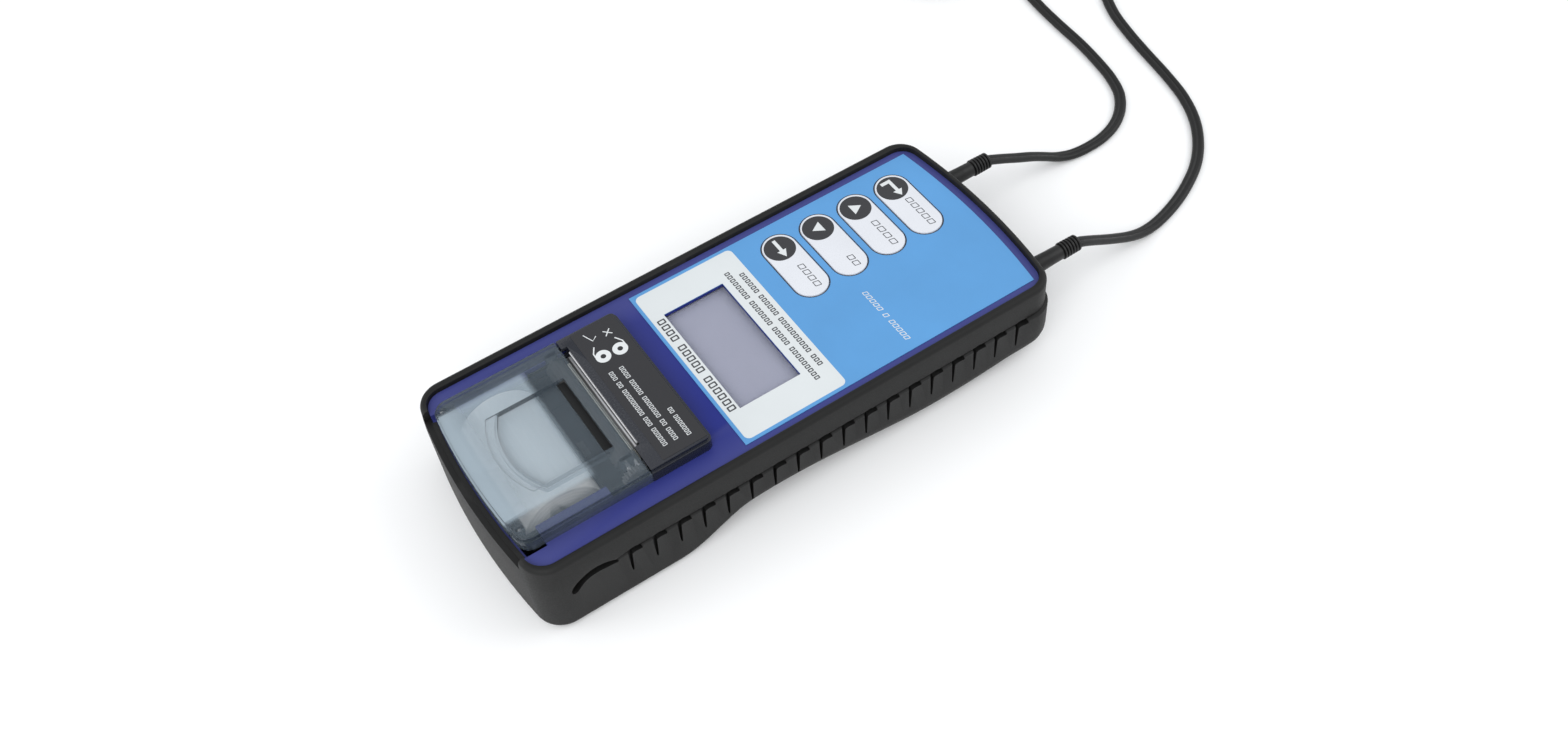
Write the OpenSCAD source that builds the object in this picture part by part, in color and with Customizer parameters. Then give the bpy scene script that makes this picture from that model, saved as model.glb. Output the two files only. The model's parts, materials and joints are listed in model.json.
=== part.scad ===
// Handheld battery tester with a built-in paper printer, in a rubber boot,
// with two clamp leads. It lies on its back, face up.
// Origin: centre of the boot's footprint, on the surface it rests on.
// +X right as the face is read, +Y up the face to the printer, +Z out of the face.

/* [Boot] */
// Length of the rubber boot
boot_l = 255; // [250:1:260]
// Width of the rubber boot
boot_w = 108; // [106:1:112]
// Corner radius of the boot in plan
boot_r = 12; // [11:0.5:16]
// Thickness of the boot's floor
boot_floor = 2.8; // [2:0.1:3]
// Height of the rim above the face
rim_h = 2.5; // [1:0.5:4]
// Number of grip slits on each side
slits = 18; // [8:1:18]

/* [Case] */
// Height of the case's face above the surface
face_z = 40; // [40:0.5:42]
// Length of the case
case_l = 248; // [246:1:248]
// Width of the case
case_w = 98.8; // [96:0.2:99]
// Wall thickness of the case
wall = 2.2; // [1.6:0.1:2.4]
// Height of the split between front and rear case
split_z = 26; // [25:0.5:27]

/* [Face] */
// Width of the screen's window
window_w = 59.4; // [50:0.2:62]
// Height of the screen's window
window_h = 28.9; // [24:0.1:30]
// Distance from one key to the next
key_pitch = 19.8; // [17:0.1:20]
// Width of a key
key_w = 16.2; // [12:0.1:17]
// Travel of a key
key_travel = 0.6; // [0.3:0.1:0.8]

/* [Printer] */
// Width of the printer's bezel and door
printer_w = 79; // [76:0.5:80]
// Height of the printer's top above the face
printer_h = 7; // [6.5:0.1:8]
// Radius of the paper roll
roll_r = 17.8; // [12:0.1:17.8]
// Width of the paper roll
roll_w = 57.6; // [50:0.1:58]
// Radius of the platen roller
platen_r = 4.2; // [3.5:0.1:4.2]

/* [Leads] */
// Width of the flat twin lead
lead_w = 5.6; // [5:0.1:6]
// Thickness of the flat twin lead
lead_t = 3; // [2.5:0.1:3]
// Length of a clamp
clamp_l = 86; // [84:1:90]

/* [Hidden] */
$fn = 48;

end_r = 300;                    // radius of the arced ends in plan
gap = 0.2;                      // clearance between nested shells
slide_gap = 0.3;                // clearance around a key
bore_gap = 0.05;                // radial running clearance in a bore
rim_w = 4.6;                    // width of the boot's rim
rim_inset = 0.6;                // the rim stands this far inside the grip band
groove_z = 28;                  // height of the groove below the rim band
low_wall_z = 37.2;              // top of the boot's wall below the printer door
low_lip_w = 1.4;                // lip of that wall over the case's end
door_recess_x = 40.5;           // half width of the recess below the door's end
door_recess_y = 111;
door_recess_z = 36.5;
plate_z = face_z - wall;        // underside of the face plate
case_y = case_l / 2;
board_z = 28.6;                 // underside of the main board
board_t = 1.6;
printer_top = face_z + printer_h;
slit_pitch = 11.04;
slit_first = -102.6;
slit_end_z = 14.8;
slit_depth = 1.2;
groove_in = 0.6;                // depth of the groove
groove_end_y = 92;              // the groove fades out here, towards the printer
flare = 0.8;                    // the grip band swells this much at the keys end
flare_y = -98;

// underside of the boot: flat foot, raised waist, rounded belly
foot_y = 64.5;
waist_y = 28.5;
belly_y = -65.5;
waist_z = 11;
tail_rise = 6;
function wave(t) = (1 - cos(180 * t)) / 2;
function underside(y) =
    y > foot_y ? 0
    : y > waist_y ? waist_z * wave((foot_y - y) / (foot_y - waist_y))
    : y > belly_y ? waist_z * wave((y - belly_y) / (waist_y - belly_y))
    : tail_rise * pow((belly_y - y) / (boot_l / 2 + belly_y), 2);
// radius of the boot's lower edge: tight at the foot, soft at the belly
function edge_r(y) = 4.5 + 6 * wave(min(1, max(0, (foot_y - y) / 110)));

// one arc of points
function arc(c, r, a, b, n) =
    [for (i = [0:n]) let (t = a + (b - a) * i / n) c + r * [cos(t), sin(t)]];
// angle at which a corner of radius r meets the end's arc
function meet(w, r) = acos((w / 2 - r) / (end_r - r));
function corner_y(w, l, r) = l / 2 - end_r + (end_r - r) * sin(meet(w, r));
// the right half of the plan outline, from the keys end to the printer end, inset by d
function half_plan(w, l, r, d, sides = 1) = let (
    a = meet(w, r), cx = w / 2 - r, cy = corner_y(w, l, r), ey = l / 2 - end_r)
    concat(
        arc([0, -ey], end_r - d, 270, 360 - a, 6),
        [for (i = [1:8]) arc([cx, -cy], r - d, 360 - a, 360, 8)[i]],
        [for (i = [1:sides - 1]) [w / 2 - d, -cy + 2 * cy * i / sides]],
        [for (i = [0:7]) arc([cx, cy], r - d, 0, a, 8)[i]],
        arc([0, ey], end_r - d, a, 90, 6));
function mirrored(half) = [for (i = [len(half) - 2:-1:1]) [-half[i][0], half[i][1]]];
function plan(w, l, r, d = 0, sides = 1) =
    let (h = half_plan(w, l, r, d, sides)) concat(h, mirrored(h));

module slab(points, z0, z1) {
    translate([0, 0, z0]) linear_extrude(z1 - z0) polygon(points);
}
module box(low, high) { translate(low) cube(high - low); }
module rod_x(x0, x1, y, z, r) {
    translate([x0, y, z]) rotate([0, 90, 0]) cylinder(h = x1 - x0, r = r);
}
module peg(x, y, z0, z1, r) { translate([x, y, z0]) cylinder(h = z1 - z0, r = r); }
// side view outline (y, z), drawn across from x0 to x1
module across(points, x0, x1) {
    translate([x0, 0, 0]) rotate([90, 0, 90]) linear_extrude(x1 - x0) polygon(points);
}
module capsule(x0, x1, y, w, z0, z1) {
    translate([0, 0, z0]) linear_extrude(z1 - z0) union() {
        translate([x0 + w / 2, y]) circle(d = w);
        translate([x1 - w / 2, y]) circle(d = w);
        translate([x0 + w / 2, y - w / 2]) square([x1 - x0 - w, w]);
    }
}

// ---- rubber boot ----
side_stations = 26;
// each ring: [inset, height] above the groove, as the rim's section
rim_rings = [[rim_w, 0], [rim_w - 0.5, 1.8], [rim_w - 1.8, rim_h], [2.4, rim_h],
    [1.3, 2], [rim_inset + 0.1, 0.6], [rim_inset, -1.5]];
round_steps = 5;
function ring_at(d, z) = [for (p = plan(boot_w, boot_l, boot_r, d, side_stations)) [p[0], p[1], z]];
boot_plan = plan(boot_w, boot_l, boot_r, 0, side_stations);
function ramp(t) = wave(min(1, max(0, t)));
// share of the groove that is left at y, and swell of the grip band
function groove_share(y) = 1 - ramp((y - groove_end_y + 8) / 8);
function swell(y) = flare * ramp((flare_y - y) / 16);
// ring with its own inset at each place along the boot
function ring_by(insets, heights) = [for (i = [0:len(boot_plan) - 1])
    let (p = plan(boot_w, boot_l, boot_r, insets[i], side_stations)[i]) [p[0], p[1], heights[i]]];
function boot_rings() = concat(
    [for (k = rim_rings) ring_at(k[0], face_z + k[1])],
    [for (k = [[0, 0.9], [groove_in, 0.4], [groove_in, -0.1]]) ring_by(
        [for (q = boot_plan) (rim_inset + k[0]) * groove_share(q[1])],
        [for (q = boot_plan) groove_z + k[1]])],
    [ring_by([for (q = boot_plan) -swell(q[1])], [for (q = boot_plan) groove_z - 0.7])],
    [for (k = [0:round_steps]) let (t = 90 * k / round_steps) ring_by(
        [for (q = boot_plan) edge_r(q[1]) * (1 - cos(t)) - swell(q[1])],
        [for (q = boot_plan) underside(q[1]) + edge_r(q[1]) * (1 - sin(t))])]);
// closed solid through the rings: walls, then caps joined straight across
module lofted(rings) {
    n = len(rings[0]);
    m = len(rings);
    h = n / 2;
    walls = [for (k = [0:m - 2], i = [0:n - 1]) let (j = (i + 1) % n)
        each [[k * n + i, (k + 1) * n + j, (k + 1) * n + i],
            [k * n + i, k * n + j, (k + 1) * n + j]]];
    function cap(base, flip) = [for (i = [0:h - 1]) let (
        a = base + i, b = base + i + 1,
        c = base + (n - i - 1) % n, d = base + (n - i) % n)
        each [if (i > 0) flip ? [a, d, b] : [a, b, d],
            if (i < h - 1) flip ? [b, d, c] : [b, c, d]]];
    polyhedron([for (r = rings) each r],
        concat(walls, cap(0, true), cap((m - 1) * n, false)));
}
module relief_holes(r, y0, y1) {
    for (x = lead_x) translate([x, y0, lead_z]) rotate([-90, 0, 0]) cylinder(h = y1 - y0, r = r);
}
// a grip slit whose end is at y, with the swelling of the groove beside it
function slit_outline(y) = [[y + 0.5, groove_z + 0.7], [y - 2.7, groove_z + 1.1],
    [y - 5.6, groove_z + 0.3], [y - 5.7, groove_z - 1.9], [y - 2.3, groove_z - 1.6],
    [y - 1, groove_z - 2.1], [y - 0.35, slit_end_z + 0.6], [y, slit_end_z],
    [y + 0.45, slit_end_z + 0.6], [y + 0.7, groove_z - 1.8]];
// the curved hollow that starts the groove at the printer end
hollow_outline = [[90, 27.4], [92.4, 29.4], [96, 30.6], [99.4, 31], [103, 30.4], [106.5, 28.8],
    [109.3, 26.8], [110.9, 24.6], [111, 22.6], [110.2, 21.5], [108.6, 21.9], [106.7, 24],
    [104.5, 25.9], [101.5, 27], [98, 27.2], [95.4, 26.8], [92, 26.4], [90, 26.2]];
module low_lip() intersection() {
    box([gap - door_recess_x, 115, door_recess_z + 0.1], [door_recess_x - gap, 130, low_wall_z]);
    difference() {
        slab(plan(case_w + 1, case_l + 1, case_r), 0, face_z);
        slab(plan(case_w, case_l, case_r, low_lip_w), -1, face_z + 1);
    }
}
module rubber_boot() color([0.2, 0.2, 0.19]) {
    difference() {
        lofted(boot_rings());
        case_body(case_w + 2 * gap, case_l + 2 * gap, gap, face_z + 10);
        // the wall is lower below the printer door's end
        box([-door_recess_x - 1, 110, low_wall_z], [door_recess_x + 1, 140, face_z + 9]);
        relief_holes(relief_r, -boot_l / 2 - 5, -115);
        for (side = [-1, 1]) {
            x = side * (boot_w / 2);
            for (i = [0:slits - 1])
                across(slit_outline(slit_first + slit_pitch * i), x - slit_depth, x + slit_depth);
            across(hollow_outline, x - slit_depth, x + slit_depth);
        }
    }
    low_lip();
}

// ---- case ----
case_r = 8;
// solid outer body of the case up to height top, grown by g all over
module case_body(w, l, g, top) {
    intersection() {
        slab(plan(w, l, case_r + g), 0, top);
        across(floor_outline(boot_floor + gap - g, l / 2 + 5, top), -w, w);
    }
}
function floor_outline(lift, y_end, top) = concat(
    [for (i = [0:28]) let (y = -y_end + 2 * y_end * i / 28) [y, underside(y) + lift]],
    [[y_end, top], [-y_end, top]]);
screw_places = [for (x = [-44.2, 44.2], y = [-104, 12, 104]) [x, y]];
screw_r = 1.5;
column_r = 2.9;
function case_floor(y) = underside(y) + boot_floor + gap;

module rear_case() color([0.13, 0.14, 0.25]) difference() {
    union() {
        difference() {
            case_body(case_w, case_l, 0, split_z);
            intersection() {
                slab(plan(case_w, case_l, case_r, wall), 0, split_z + 1);
                across(floor_outline(boot_floor + gap + 1.8, case_y + 5, split_z + 1), -case_w, case_w);
            }
        }
        for (p = screw_places) intersection() {
            peg(p[0], p[1], 0, split_z, column_r);
            case_body(case_w, case_l, 0, split_z);
        }
    }
    for (p = screw_places) {
        peg(p[0], p[1], 0, split_z + 1, screw_r + bore_gap);
        peg(p[0], p[1], -1, case_floor(p[1]) + 4, 2.6);
    }
    relief_holes(relief_neck_r + gap, -case_y - 3, -case_y + 6);
}

// keys: one row per key, from the screen outwards
key_x0 = 0;
key_x1 = 39.7;
key_cap_x = 32.4;
key_first_y = -41.1;
key_rest_z = face_z + 0.9;
module key_holes(grow, z0, z1) {
    for (i = [0:3]) capsule(key_x0 - grow, key_x1 + grow, key_first_y - key_pitch * i,
        key_w + 2 * grow, z0, z1);
}
window_y = 3.75;
module window(grow, z0, z1) {
    box([-window_w / 2 - grow, window_y - window_h / 2 - grow, z0],
        [window_w / 2 + grow, window_y + window_h / 2 + grow, z1]);
}
lens_border = 1.6;
lens_t = 1.4;
board_posts = [for (x = [-36, 36], y = [-113.5, -27, 26]) [x, y]];
board_screw_r = 1;
printer_posts = [for (x = [-36, 37], y = [41, 100]) [x, y]];
flange_t = 1.5;
module front_case() color([0.2, 0.22, 0.58]) difference() {
    union() {
        difference() {
            slab(plan(case_w, case_l, case_r), split_z, face_z);
            slab(plan(case_w, case_l, case_r, wall), split_z - 1, plate_z);
        }
        for (p = screw_places) peg(p[0], p[1], split_z, plate_z + 0.1, column_r);
        for (p = board_posts) peg(p[0], p[1], board_z + board_t, plate_z + 0.1, 2.4);
    }
    for (p = screw_places) peg(p[0], p[1], split_z - 1, split_z + 9, screw_r + bore_gap);
    for (p = board_posts) peg(p[0], p[1], board_z, board_z + 6, board_screw_r + bore_gap);
    for (p = printer_posts) peg(p[0], p[1], plate_z - 1, face_z - 0.5, board_screw_r + bore_gap);
    key_holes(0, plate_z - 1, face_z + 1);
    window(0, plate_z - 1, face_z + 1);
    window(lens_border + gap, plate_z - 1, plate_z + 0.7);
    relief_holes(relief_neck_r + gap, -case_y - 3, -case_y + 6);
    // opening for the printer, and the recess that the door's end swings into
    box([-36.2, 46.5, plate_z - 1], [37.6, 80, face_z + 1]);
    box([left_plate[0] - 0.3, 79, plate_z - 1], [right_plate[1] + 0.3, door_recess_y + 1, face_z + 1]);
    box([-door_recess_x, door_recess_y, door_recess_z], [door_recess_x, case_y + 5, face_z + 1]);
}
module case_screws() color("silver") for (p = screw_places) {
    peg(p[0], p[1], case_floor(p[1]) + 4, split_z + 8, screw_r);
    peg(p[0], p[1], case_floor(p[1]) + 2.2, case_floor(p[1]) + 4, 2.5);
}
label_t = 0.3;
module face_label() color([0.42, 0.65, 0.87]) difference() {
    intersection() {
        slab(plan(92, 250, 4, 0), face_z, face_z + label_t);
        box([-60, -120.3, 0], [60, 25.8, 60]);
        translate([0, 199.7, 0]) cylinder(h = 60, r = 320, $fn = 256);
    }
    key_holes(0, 0, 60);
    window(0, 0, 60);
}
module screen_lens() color([0.6, 0.62, 0.7, 0.5])
    window(lens_border, plate_z + 0.7 - lens_t, plate_z + 0.7);
lcd_top = plate_z + 0.6 - lens_t;
module lcd_glass() color([0.63, 0.64, 0.71]) window(0.8, lcd_top - 2.8, lcd_top);
module lcd_frame() color("silver") difference() {
    window(4.6, board_z + board_t, lcd_top);
    window(-1, 0, 60);
    window(0.9, lcd_top - 2.9, lcd_top + 1);
}

// ---- keys ----
stem_r = 1.5;
plunger_r = 1.6;
switch_h = 3.5;
plunger_top = board_z + board_t + switch_h + 1;
module key(i) color([0.91, 0.92, 0.94]) {
    y = key_first_y - key_pitch * i;
    capsule(key_x0 + slide_gap, key_x1 - slide_gap, y, key_w - 2 * slide_gap, plate_z - 1.2, key_rest_z);
    capsule(key_x0 - 0.9, key_x1 + 0.9, y, key_w + 1.8, plate_z - 1.2, plate_z - 0.1);
    peg(key_cap_x, y, plunger_top, plate_z - 1.2, stem_r);
}
module plunger(i) color([0.1, 0.1, 0.1])
    peg(key_cap_x, key_first_y - key_pitch * i, plunger_top - 1.9, plunger_top, plunger_r);
module key_switches() color([0.25, 0.25, 0.27]) for (i = [0:3]) {
    y = key_first_y - key_pitch * i;
    top = board_z + board_t + switch_h;
    difference() {
        box([key_cap_x - 3, y - 3, board_z + board_t], [key_cap_x + 3, y + 3, top]);
        peg(key_cap_x, y, top - 1.8, top + 1, plunger_r + 0.1);
    }
}

// ---- electronics ----
module main_board() color([0.05, 0.35, 0.16]) difference() {
    box([-40, -117, board_z], [40, 30, board_z + board_t]);
    for (p = board_posts) peg(p[0], p[1], board_z - 1, board_z + 3, board_screw_r + bore_gap);
}
module board_screws() color("silver") for (p = board_posts) {
    peg(p[0], p[1], board_z, board_z + 5, board_screw_r);
    peg(p[0], p[1], board_z - 1.5, board_z, 2);
}
module controller_chip() color([0.08, 0.08, 0.08])
    box([-26, -66, board_z + board_t], [-12, -52, board_z + board_t + 1.6]);
module capacitors() color([0.12, 0.13, 0.3])
    for (p = [[-28, -96], [-16, -96], [-28, -84]]) peg(p[0], p[1], board_z + board_t, plate_z - 0.6, 4);
module buzzer() color([0.07, 0.07, 0.07]) difference() {
    peg(-26, -36, board_z + board_t, plate_z - 1, 6);
    peg(-26, -36, plate_z - 2, plate_z, 1.2);
}
sink_z = 12;
module power_transistors() color([0.1, 0.1, 0.1])
    for (x = [-24, -8, 8, 24]) box([x - 5, -92, board_z - 5], [x + 5, -76, board_z]);
module heat_sink() color([0.7, 0.7, 0.72]) {
    box([-34, -96, board_z - 8], [34, -72, board_z - 5]);
    for (i = [0:10]) box([-34 + 6.6 * i, -96, sink_z], [-32 + 6.6 * i, -72, board_z - 8]);
}
module lead_terminals() color([0.1, 0.45, 0.3]) for (x = lead_x)
    box([x - 5, -111, board_z - 9], [x + 5, -101, board_z]);
module lead_wires() color([0.1, 0.1, 0.1]) for (x = lead_x)
    translate([x, -117.5, lead_z - 2]) rotate([-90, 0, 0]) cylinder(h = 6.5, r = 1.4);

// ---- printer ----
paper_x = 4;
roll_y = 97.4;
roll_z = 24.6;
bowl_r = roll_r + 0.08;
platen_y = 68.3;
platen_z = 39.6;
hinge_y = 117;
hinge_z = 43.2;
ear_r = 1.7;
pin_r = 1;
left_plate = [-30, -28.4];
right_plate = [33.3, 34.9];
module_ = 0.6;
platen_teeth = 16;
idler_teeth = 24;
pinion_teeth = 12;
idler_y = platen_y;
idler_z = platen_z - module_ * (platen_teeth + idler_teeth) / 2;
pinion_y = idler_y - 10.4;
pinion_z = idler_z - sqrt(pow(module_ * (idler_teeth + pinion_teeth) / 2, 2) - pow(10.4, 2));
gear_x = [-34.5, -31.5];
post_r = 1.5;
motor_r = 7.5;
joint_y = 63.8;
bezel_y = 36;

module side_plate(x) {
    difference() {
        union() {
            box([x[0], 48, 14], [x[1], roll_y + bowl_r + 1, 35]);
            box([x[0], hinge_y - ear_r, 26], [x[1], hinge_y + 0.5, hinge_z]);
            rod_x(x[0], x[1], hinge_y, hinge_z, ear_r);
        }
        rod_x(x[0] - 1, x[1] + 1, hinge_y, hinge_z, pin_r + bore_gap);
    }
}
module printer_frame() color([0.16, 0.16, 0.17]) difference() {
    union() {
        side_plate(left_plate);
        side_plate(right_plate);
        // bowl below the paper roll
        difference() {
            union() {
                rod_x(left_plate[0], right_plate[1], roll_y, roll_z, bowl_r + 1);
                box([left_plate[0], roll_y + bowl_r - 3, roll_z], [right_plate[1], roll_y + bowl_r + 1, 34]);
                box([left_plate[0], roll_y - bowl_r - 1, roll_z], [right_plate[1], roll_y - bowl_r + 3, 33]);
            }
            rod_x(left_plate[1], right_plate[0], roll_y, roll_z, bowl_r);
            box([left_plate[1], roll_y - bowl_r, roll_z], [right_plate[0], roll_y + bowl_r, 60]);
            box([-50, 60, 34], [50, 130, 60]);
        }
        // post of the idler gear
        rod_x(-35.3, left_plate[1], idler_y, idler_z, post_r);
        // floor that carries the motor and the head
        box([left_plate[0], 48, 12.5], [right_plate[1], roll_y - bowl_r + 1, 14]);
        // beam behind the head's springs
        box([left_plate[0], 56.9, 33.9], [right_plate[1], 58.4, 39.5]);
        // flange below the face plate
        difference() {
            box([-38.6, 37, plate_z - 0.1 - flange_t], [38.9, 110, plate_z - 0.1]);
            box([-35, 48, 30], [37, 80, 60]);
            box([left_plate[0], 70, 30], [right_plate[1], 111, 60]);
        }
        // webs that hang the side plates from the flange
        for (y = [50, 90]) {
            box([-38.6, y, 30], [left_plate[0] + 0.5, y + 2, plate_z - 0.1]);
            box([right_plate[1] - 0.5, y, 30], [38.9, y + 2, plate_z - 0.1]);
        }
    }
    for (p = printer_posts) peg(p[0], p[1], 30, 40, board_screw_r + bore_gap);
    rod_x(left_plate[0] - 1, left_plate[1] + 1, pinion_y, pinion_z, 2.2);
}
module printer_screws() color("silver") for (p = printer_posts) {
    peg(p[0], p[1], plate_z - 0.1 - flange_t, face_z - 0.6, board_screw_r);
    peg(p[0], p[1], plate_z - 1.6 - flange_t, plate_z - 0.1 - flange_t, 2);
}
function door_plan(d) = let (h = half_plan(printer_w, 245, 6, d)) concat(h, mirrored(h));
bezel_r = 3;
bezel_end_y = 61;
ear_end_y = joint_y - 0.3;       // ears beside the paper gap reach to the door
ear_t = 1.9;
function bezel_plan(d) = concat(
    arc([-printer_w / 2 + bezel_r, bezel_y + bezel_r], bezel_r - d, 180, 270, 6),
    arc([printer_w / 2 - bezel_r, bezel_y + bezel_r], bezel_r - d, 270, 360, 6),
    [[printer_w / 2 - d, ear_end_y], [-printer_w / 2 + d, ear_end_y]]);
module printer_bezel() color([0.26, 0.27, 0.3]) {
    difference() {
        union() {
            slab(bezel_plan(0), face_z + 0.05, printer_top - 1.6);
            slab(bezel_plan(0.9), printer_top - 1.6, printer_top);
        }
        box([-35, 47.5, 0], [36, 59, printer_top - 1.6]);
        box([-34.8, 46.5, 0], [35.6, 62, face_z + 1.4]);
        box([paper_x - 29.6, bezel_end_y, 0], [paper_x + 29.6, ear_end_y + 1, printer_top + 1]);
        box([ear_t - printer_w / 2, bezel_end_y, 0],
            [printer_w / 2 - ear_t, ear_end_y + 1, printer_top - 1.6]);
    }
    box([-34, 59, 42], [35, 62.6, 42.5]);
}
module bezel_label() color([0.25, 0.25, 0.26])
    box([-37.5, bezel_y + 1.6, printer_top], [37.5, 57.5, printer_top + 0.2]);
tear_top = 45.6;
module tear_bar() color("silver") {
    box([paper_x - 27.5, bezel_end_y, 42.5], [paper_x + 27.5, 63.2, 43.1]);
    translate([0, bezel_end_y + 0.6, 0]) rotate([90, 0, 0]) linear_extrude(0.6)
        polygon(concat([[paper_x + 27.5, 43], [paper_x - 27.5, 43]],
            [for (i = [0:54], k = [[0, 0], [0.5, 0.8]]) [paper_x - 27.5 + i + k[0], tear_top + k[1]]],
            [[paper_x + 27.5, tear_top]]));
}

// the scoop that a finger slides along into the slot
slot_w = 41;
slot_y = [69.9, 73.3];
scoop_end = 104;
scoop_depth = 2.8;
skin = 1.6;
module scoop(d, z0, z1) intersection() {
    box([-slot_w / 2 - d, slot_y[1] - d, z0], [slot_w / 2 + d, scoop_end + d + 6, z1]);
    translate([0, scoop_end - 34, z0]) cylinder(h = z1 - z0, r = 36 + d, $fn = 96);
}
// shallow step round the scoop's end
module scoop_step() intersection() {
    box([-slot_w / 2, scoop_end - 20, printer_top - 0.7], [slot_w / 2, scoop_end + 10, printer_top + 1]);
    translate([0, scoop_end - 34, 0]) cylinder(h = printer_top + 1, r = 40.5, $fn = 96);
}
module door_shell(d, z0, z1) intersection() {
    slab(door_plan(d), z0, z1);
    box([-60, joint_y + d, 0], [60, 140, 80]);
}
module door_arm(x0, x1, y, z, r) {
    box([x0, y - r, z], [x1, y + r, printer_top - skin + 0.1]);
    rod_x(x0, x1, y, z, r);
}
module printer_door() color([0.5, 0.56, 0.6, 0.7]) difference() {
    union() {
        difference() {
            union() {
                door_shell(0, face_z + 0.2, printer_top - 1.4);
                door_shell(0.8, printer_top - 1.4, printer_top);
            }
            difference() {
                door_shell(skin, face_z - 1, printer_top - skin);
                scoop(1.2, printer_top - scoop_depth - 1.2, printer_top);
            }
            scoop(0, printer_top - scoop_depth, printer_top + 1);
            scoop_step();
        }
        door_arm(-31.9, -30.2, hinge_y, hinge_z, 1.8);
        door_arm(35.1, 36.8, hinge_y, hinge_z, 1.8);
        door_arm(-27.6, -25.8, platen_y, platen_z, 2.6);
        door_arm(34.2, 36, platen_y, platen_z, 2.6);
    }
    box([-slot_w / 2, slot_y[0], face_z + 2.6], [slot_w / 2, slot_y[1], printer_top + 1]);
    for (x = [[-30.2, -28.2], [33.1, 35.1]])
        box([x[0], hinge_y + 1, face_z - 1], [x[1], 130, printer_top - skin]);
    rod_x(-32.5, -30, hinge_y, hinge_z, pin_r);
    rod_x(35, 37.2, hinge_y, hinge_z, pin_r);
    rod_x(-28, -25, platen_y, platen_z, shaft_r + bore_gap);
    rod_x(34, 36.5, platen_y, platen_z, shaft_r + bore_gap);
    // no front wall: the platen and its gear sit right behind the joint line
    box([-37.4, joint_y - 1, face_z - 1], [37.6, joint_y + skin + 0.1, printer_top - skin]);
}
module hinge_pins() color("silver") {
    rod_x(-31.9, left_plate[1], hinge_y, hinge_z, pin_r);
    rod_x(right_plate[0], 36.8, hinge_y, hinge_z, pin_r);
}
shaft_r = 1.5;
module platen_roller() color([0.08, 0.08, 0.08]) difference() {
    rod_x(paper_x - 28.8, paper_x + 28.8, platen_y, platen_z, platen_r);
    rod_x(-40, 40, platen_y, platen_z, shaft_r);
}
module platen_shaft() color("silver") rod_x(-34.8, 36.6, platen_y, platen_z, shaft_r);

// gear with straight-flanked teeth, a tooth pointing at angle a from +Y towards +Z
module gear(teeth, y, z, a, bore) {
    r = module_ * teeth / 2;
    half = 360 / teeth / 4;
    translate([gear_x[0], y, z]) rotate([90, 0, 90]) linear_extrude(gear_x[1] - gear_x[0])
        difference() {
            polygon([for (i = [0:teeth - 1], k = [[-1.5, -0.62], [-0.5, 0.48], [0.5, 0.48], [1.5, -0.62]])
                let (t = a + 360 * i / teeth + k[0] * half * 0.9, rr = r + k[1]) rr * [cos(t), sin(t)]]);
            circle(r = bore + 0.02);
        }
}
mesh_angle = atan2(idler_z - pinion_z, idler_y - pinion_y);
module platen_gear() color([0.9, 0.9, 0.86]) gear(platen_teeth, platen_y, platen_z, -90, shaft_r);
module idler_gear() color([0.9, 0.9, 0.86])
    gear(idler_teeth, idler_y, idler_z, 90 + 180 / idler_teeth, post_r + bore_gap);
// a gap of the pinion meets the idler's tooth on the line between their centres
pinion_angle = mesh_angle + 180 / pinion_teeth
    - (90 + 180 / idler_teeth - 180 - mesh_angle) * idler_teeth / pinion_teeth;
module motor_pinion() color("gold") {
    gear(pinion_teeth, pinion_y, pinion_z, pinion_angle, 1);
    rod_x(-34.5, left_plate[1] + 0.1, pinion_y, pinion_z, 1);
}
module stepper_motor() color([0.55, 0.55, 0.57]) difference() {
    rod_x(left_plate[1], -10, pinion_y, pinion_z, motor_r);
    rod_x(left_plate[1] - 1, -25, pinion_y, pinion_z, 1.2);
}
module printhead() color([0.75, 0.72, 0.6]) {
    box([paper_x - 28, 61.4, 32.6], [paper_x + 28, 62.8, 41.5]);
    box([paper_x - 26, 62.8, 37.6], [paper_x + 26, 64, 41.2]);
}
module head_springs() color("silver") for (x = [-16, 4, 24]) difference() {
    translate([x, 58.4, 37]) rotate([-90, 0, 0]) cylinder(h = 3, r = 1.8);
    translate([x, 58, 37]) rotate([-90, 0, 0]) cylinder(h = 4, r = 1.2);
}
module head_ribbon() color([0.85, 0.6, 0.2])
    across([[61.4, 33], [61.4, 33.6], [47, 33.6], [34, 24.6], [27, 24.6], [27, board_z],
        [26.6, board_z], [26.6, 24.2], [34.2, 24.2], [47.2, 33]], -8, 22);
module paper_sensor() color([0.06, 0.06, 0.06]) box([0, 73, 14], [8, 76.5, 20]);
module paper_roll() color([0.95, 0.95, 0.93]) difference() {
    rod_x(paper_x - roll_w / 2, paper_x + roll_w / 2, roll_y, roll_z, roll_r);
    rod_x(-60, 60, roll_y, roll_z, 6.5);
}
module roll_core() color([0.6, 0.5, 0.35]) difference() {
    rod_x(paper_x - roll_w / 2, paper_x + roll_w / 2, roll_y, roll_z, 6.5);
    rod_x(-60, 60, roll_y, roll_z, 5.5);
}

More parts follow.
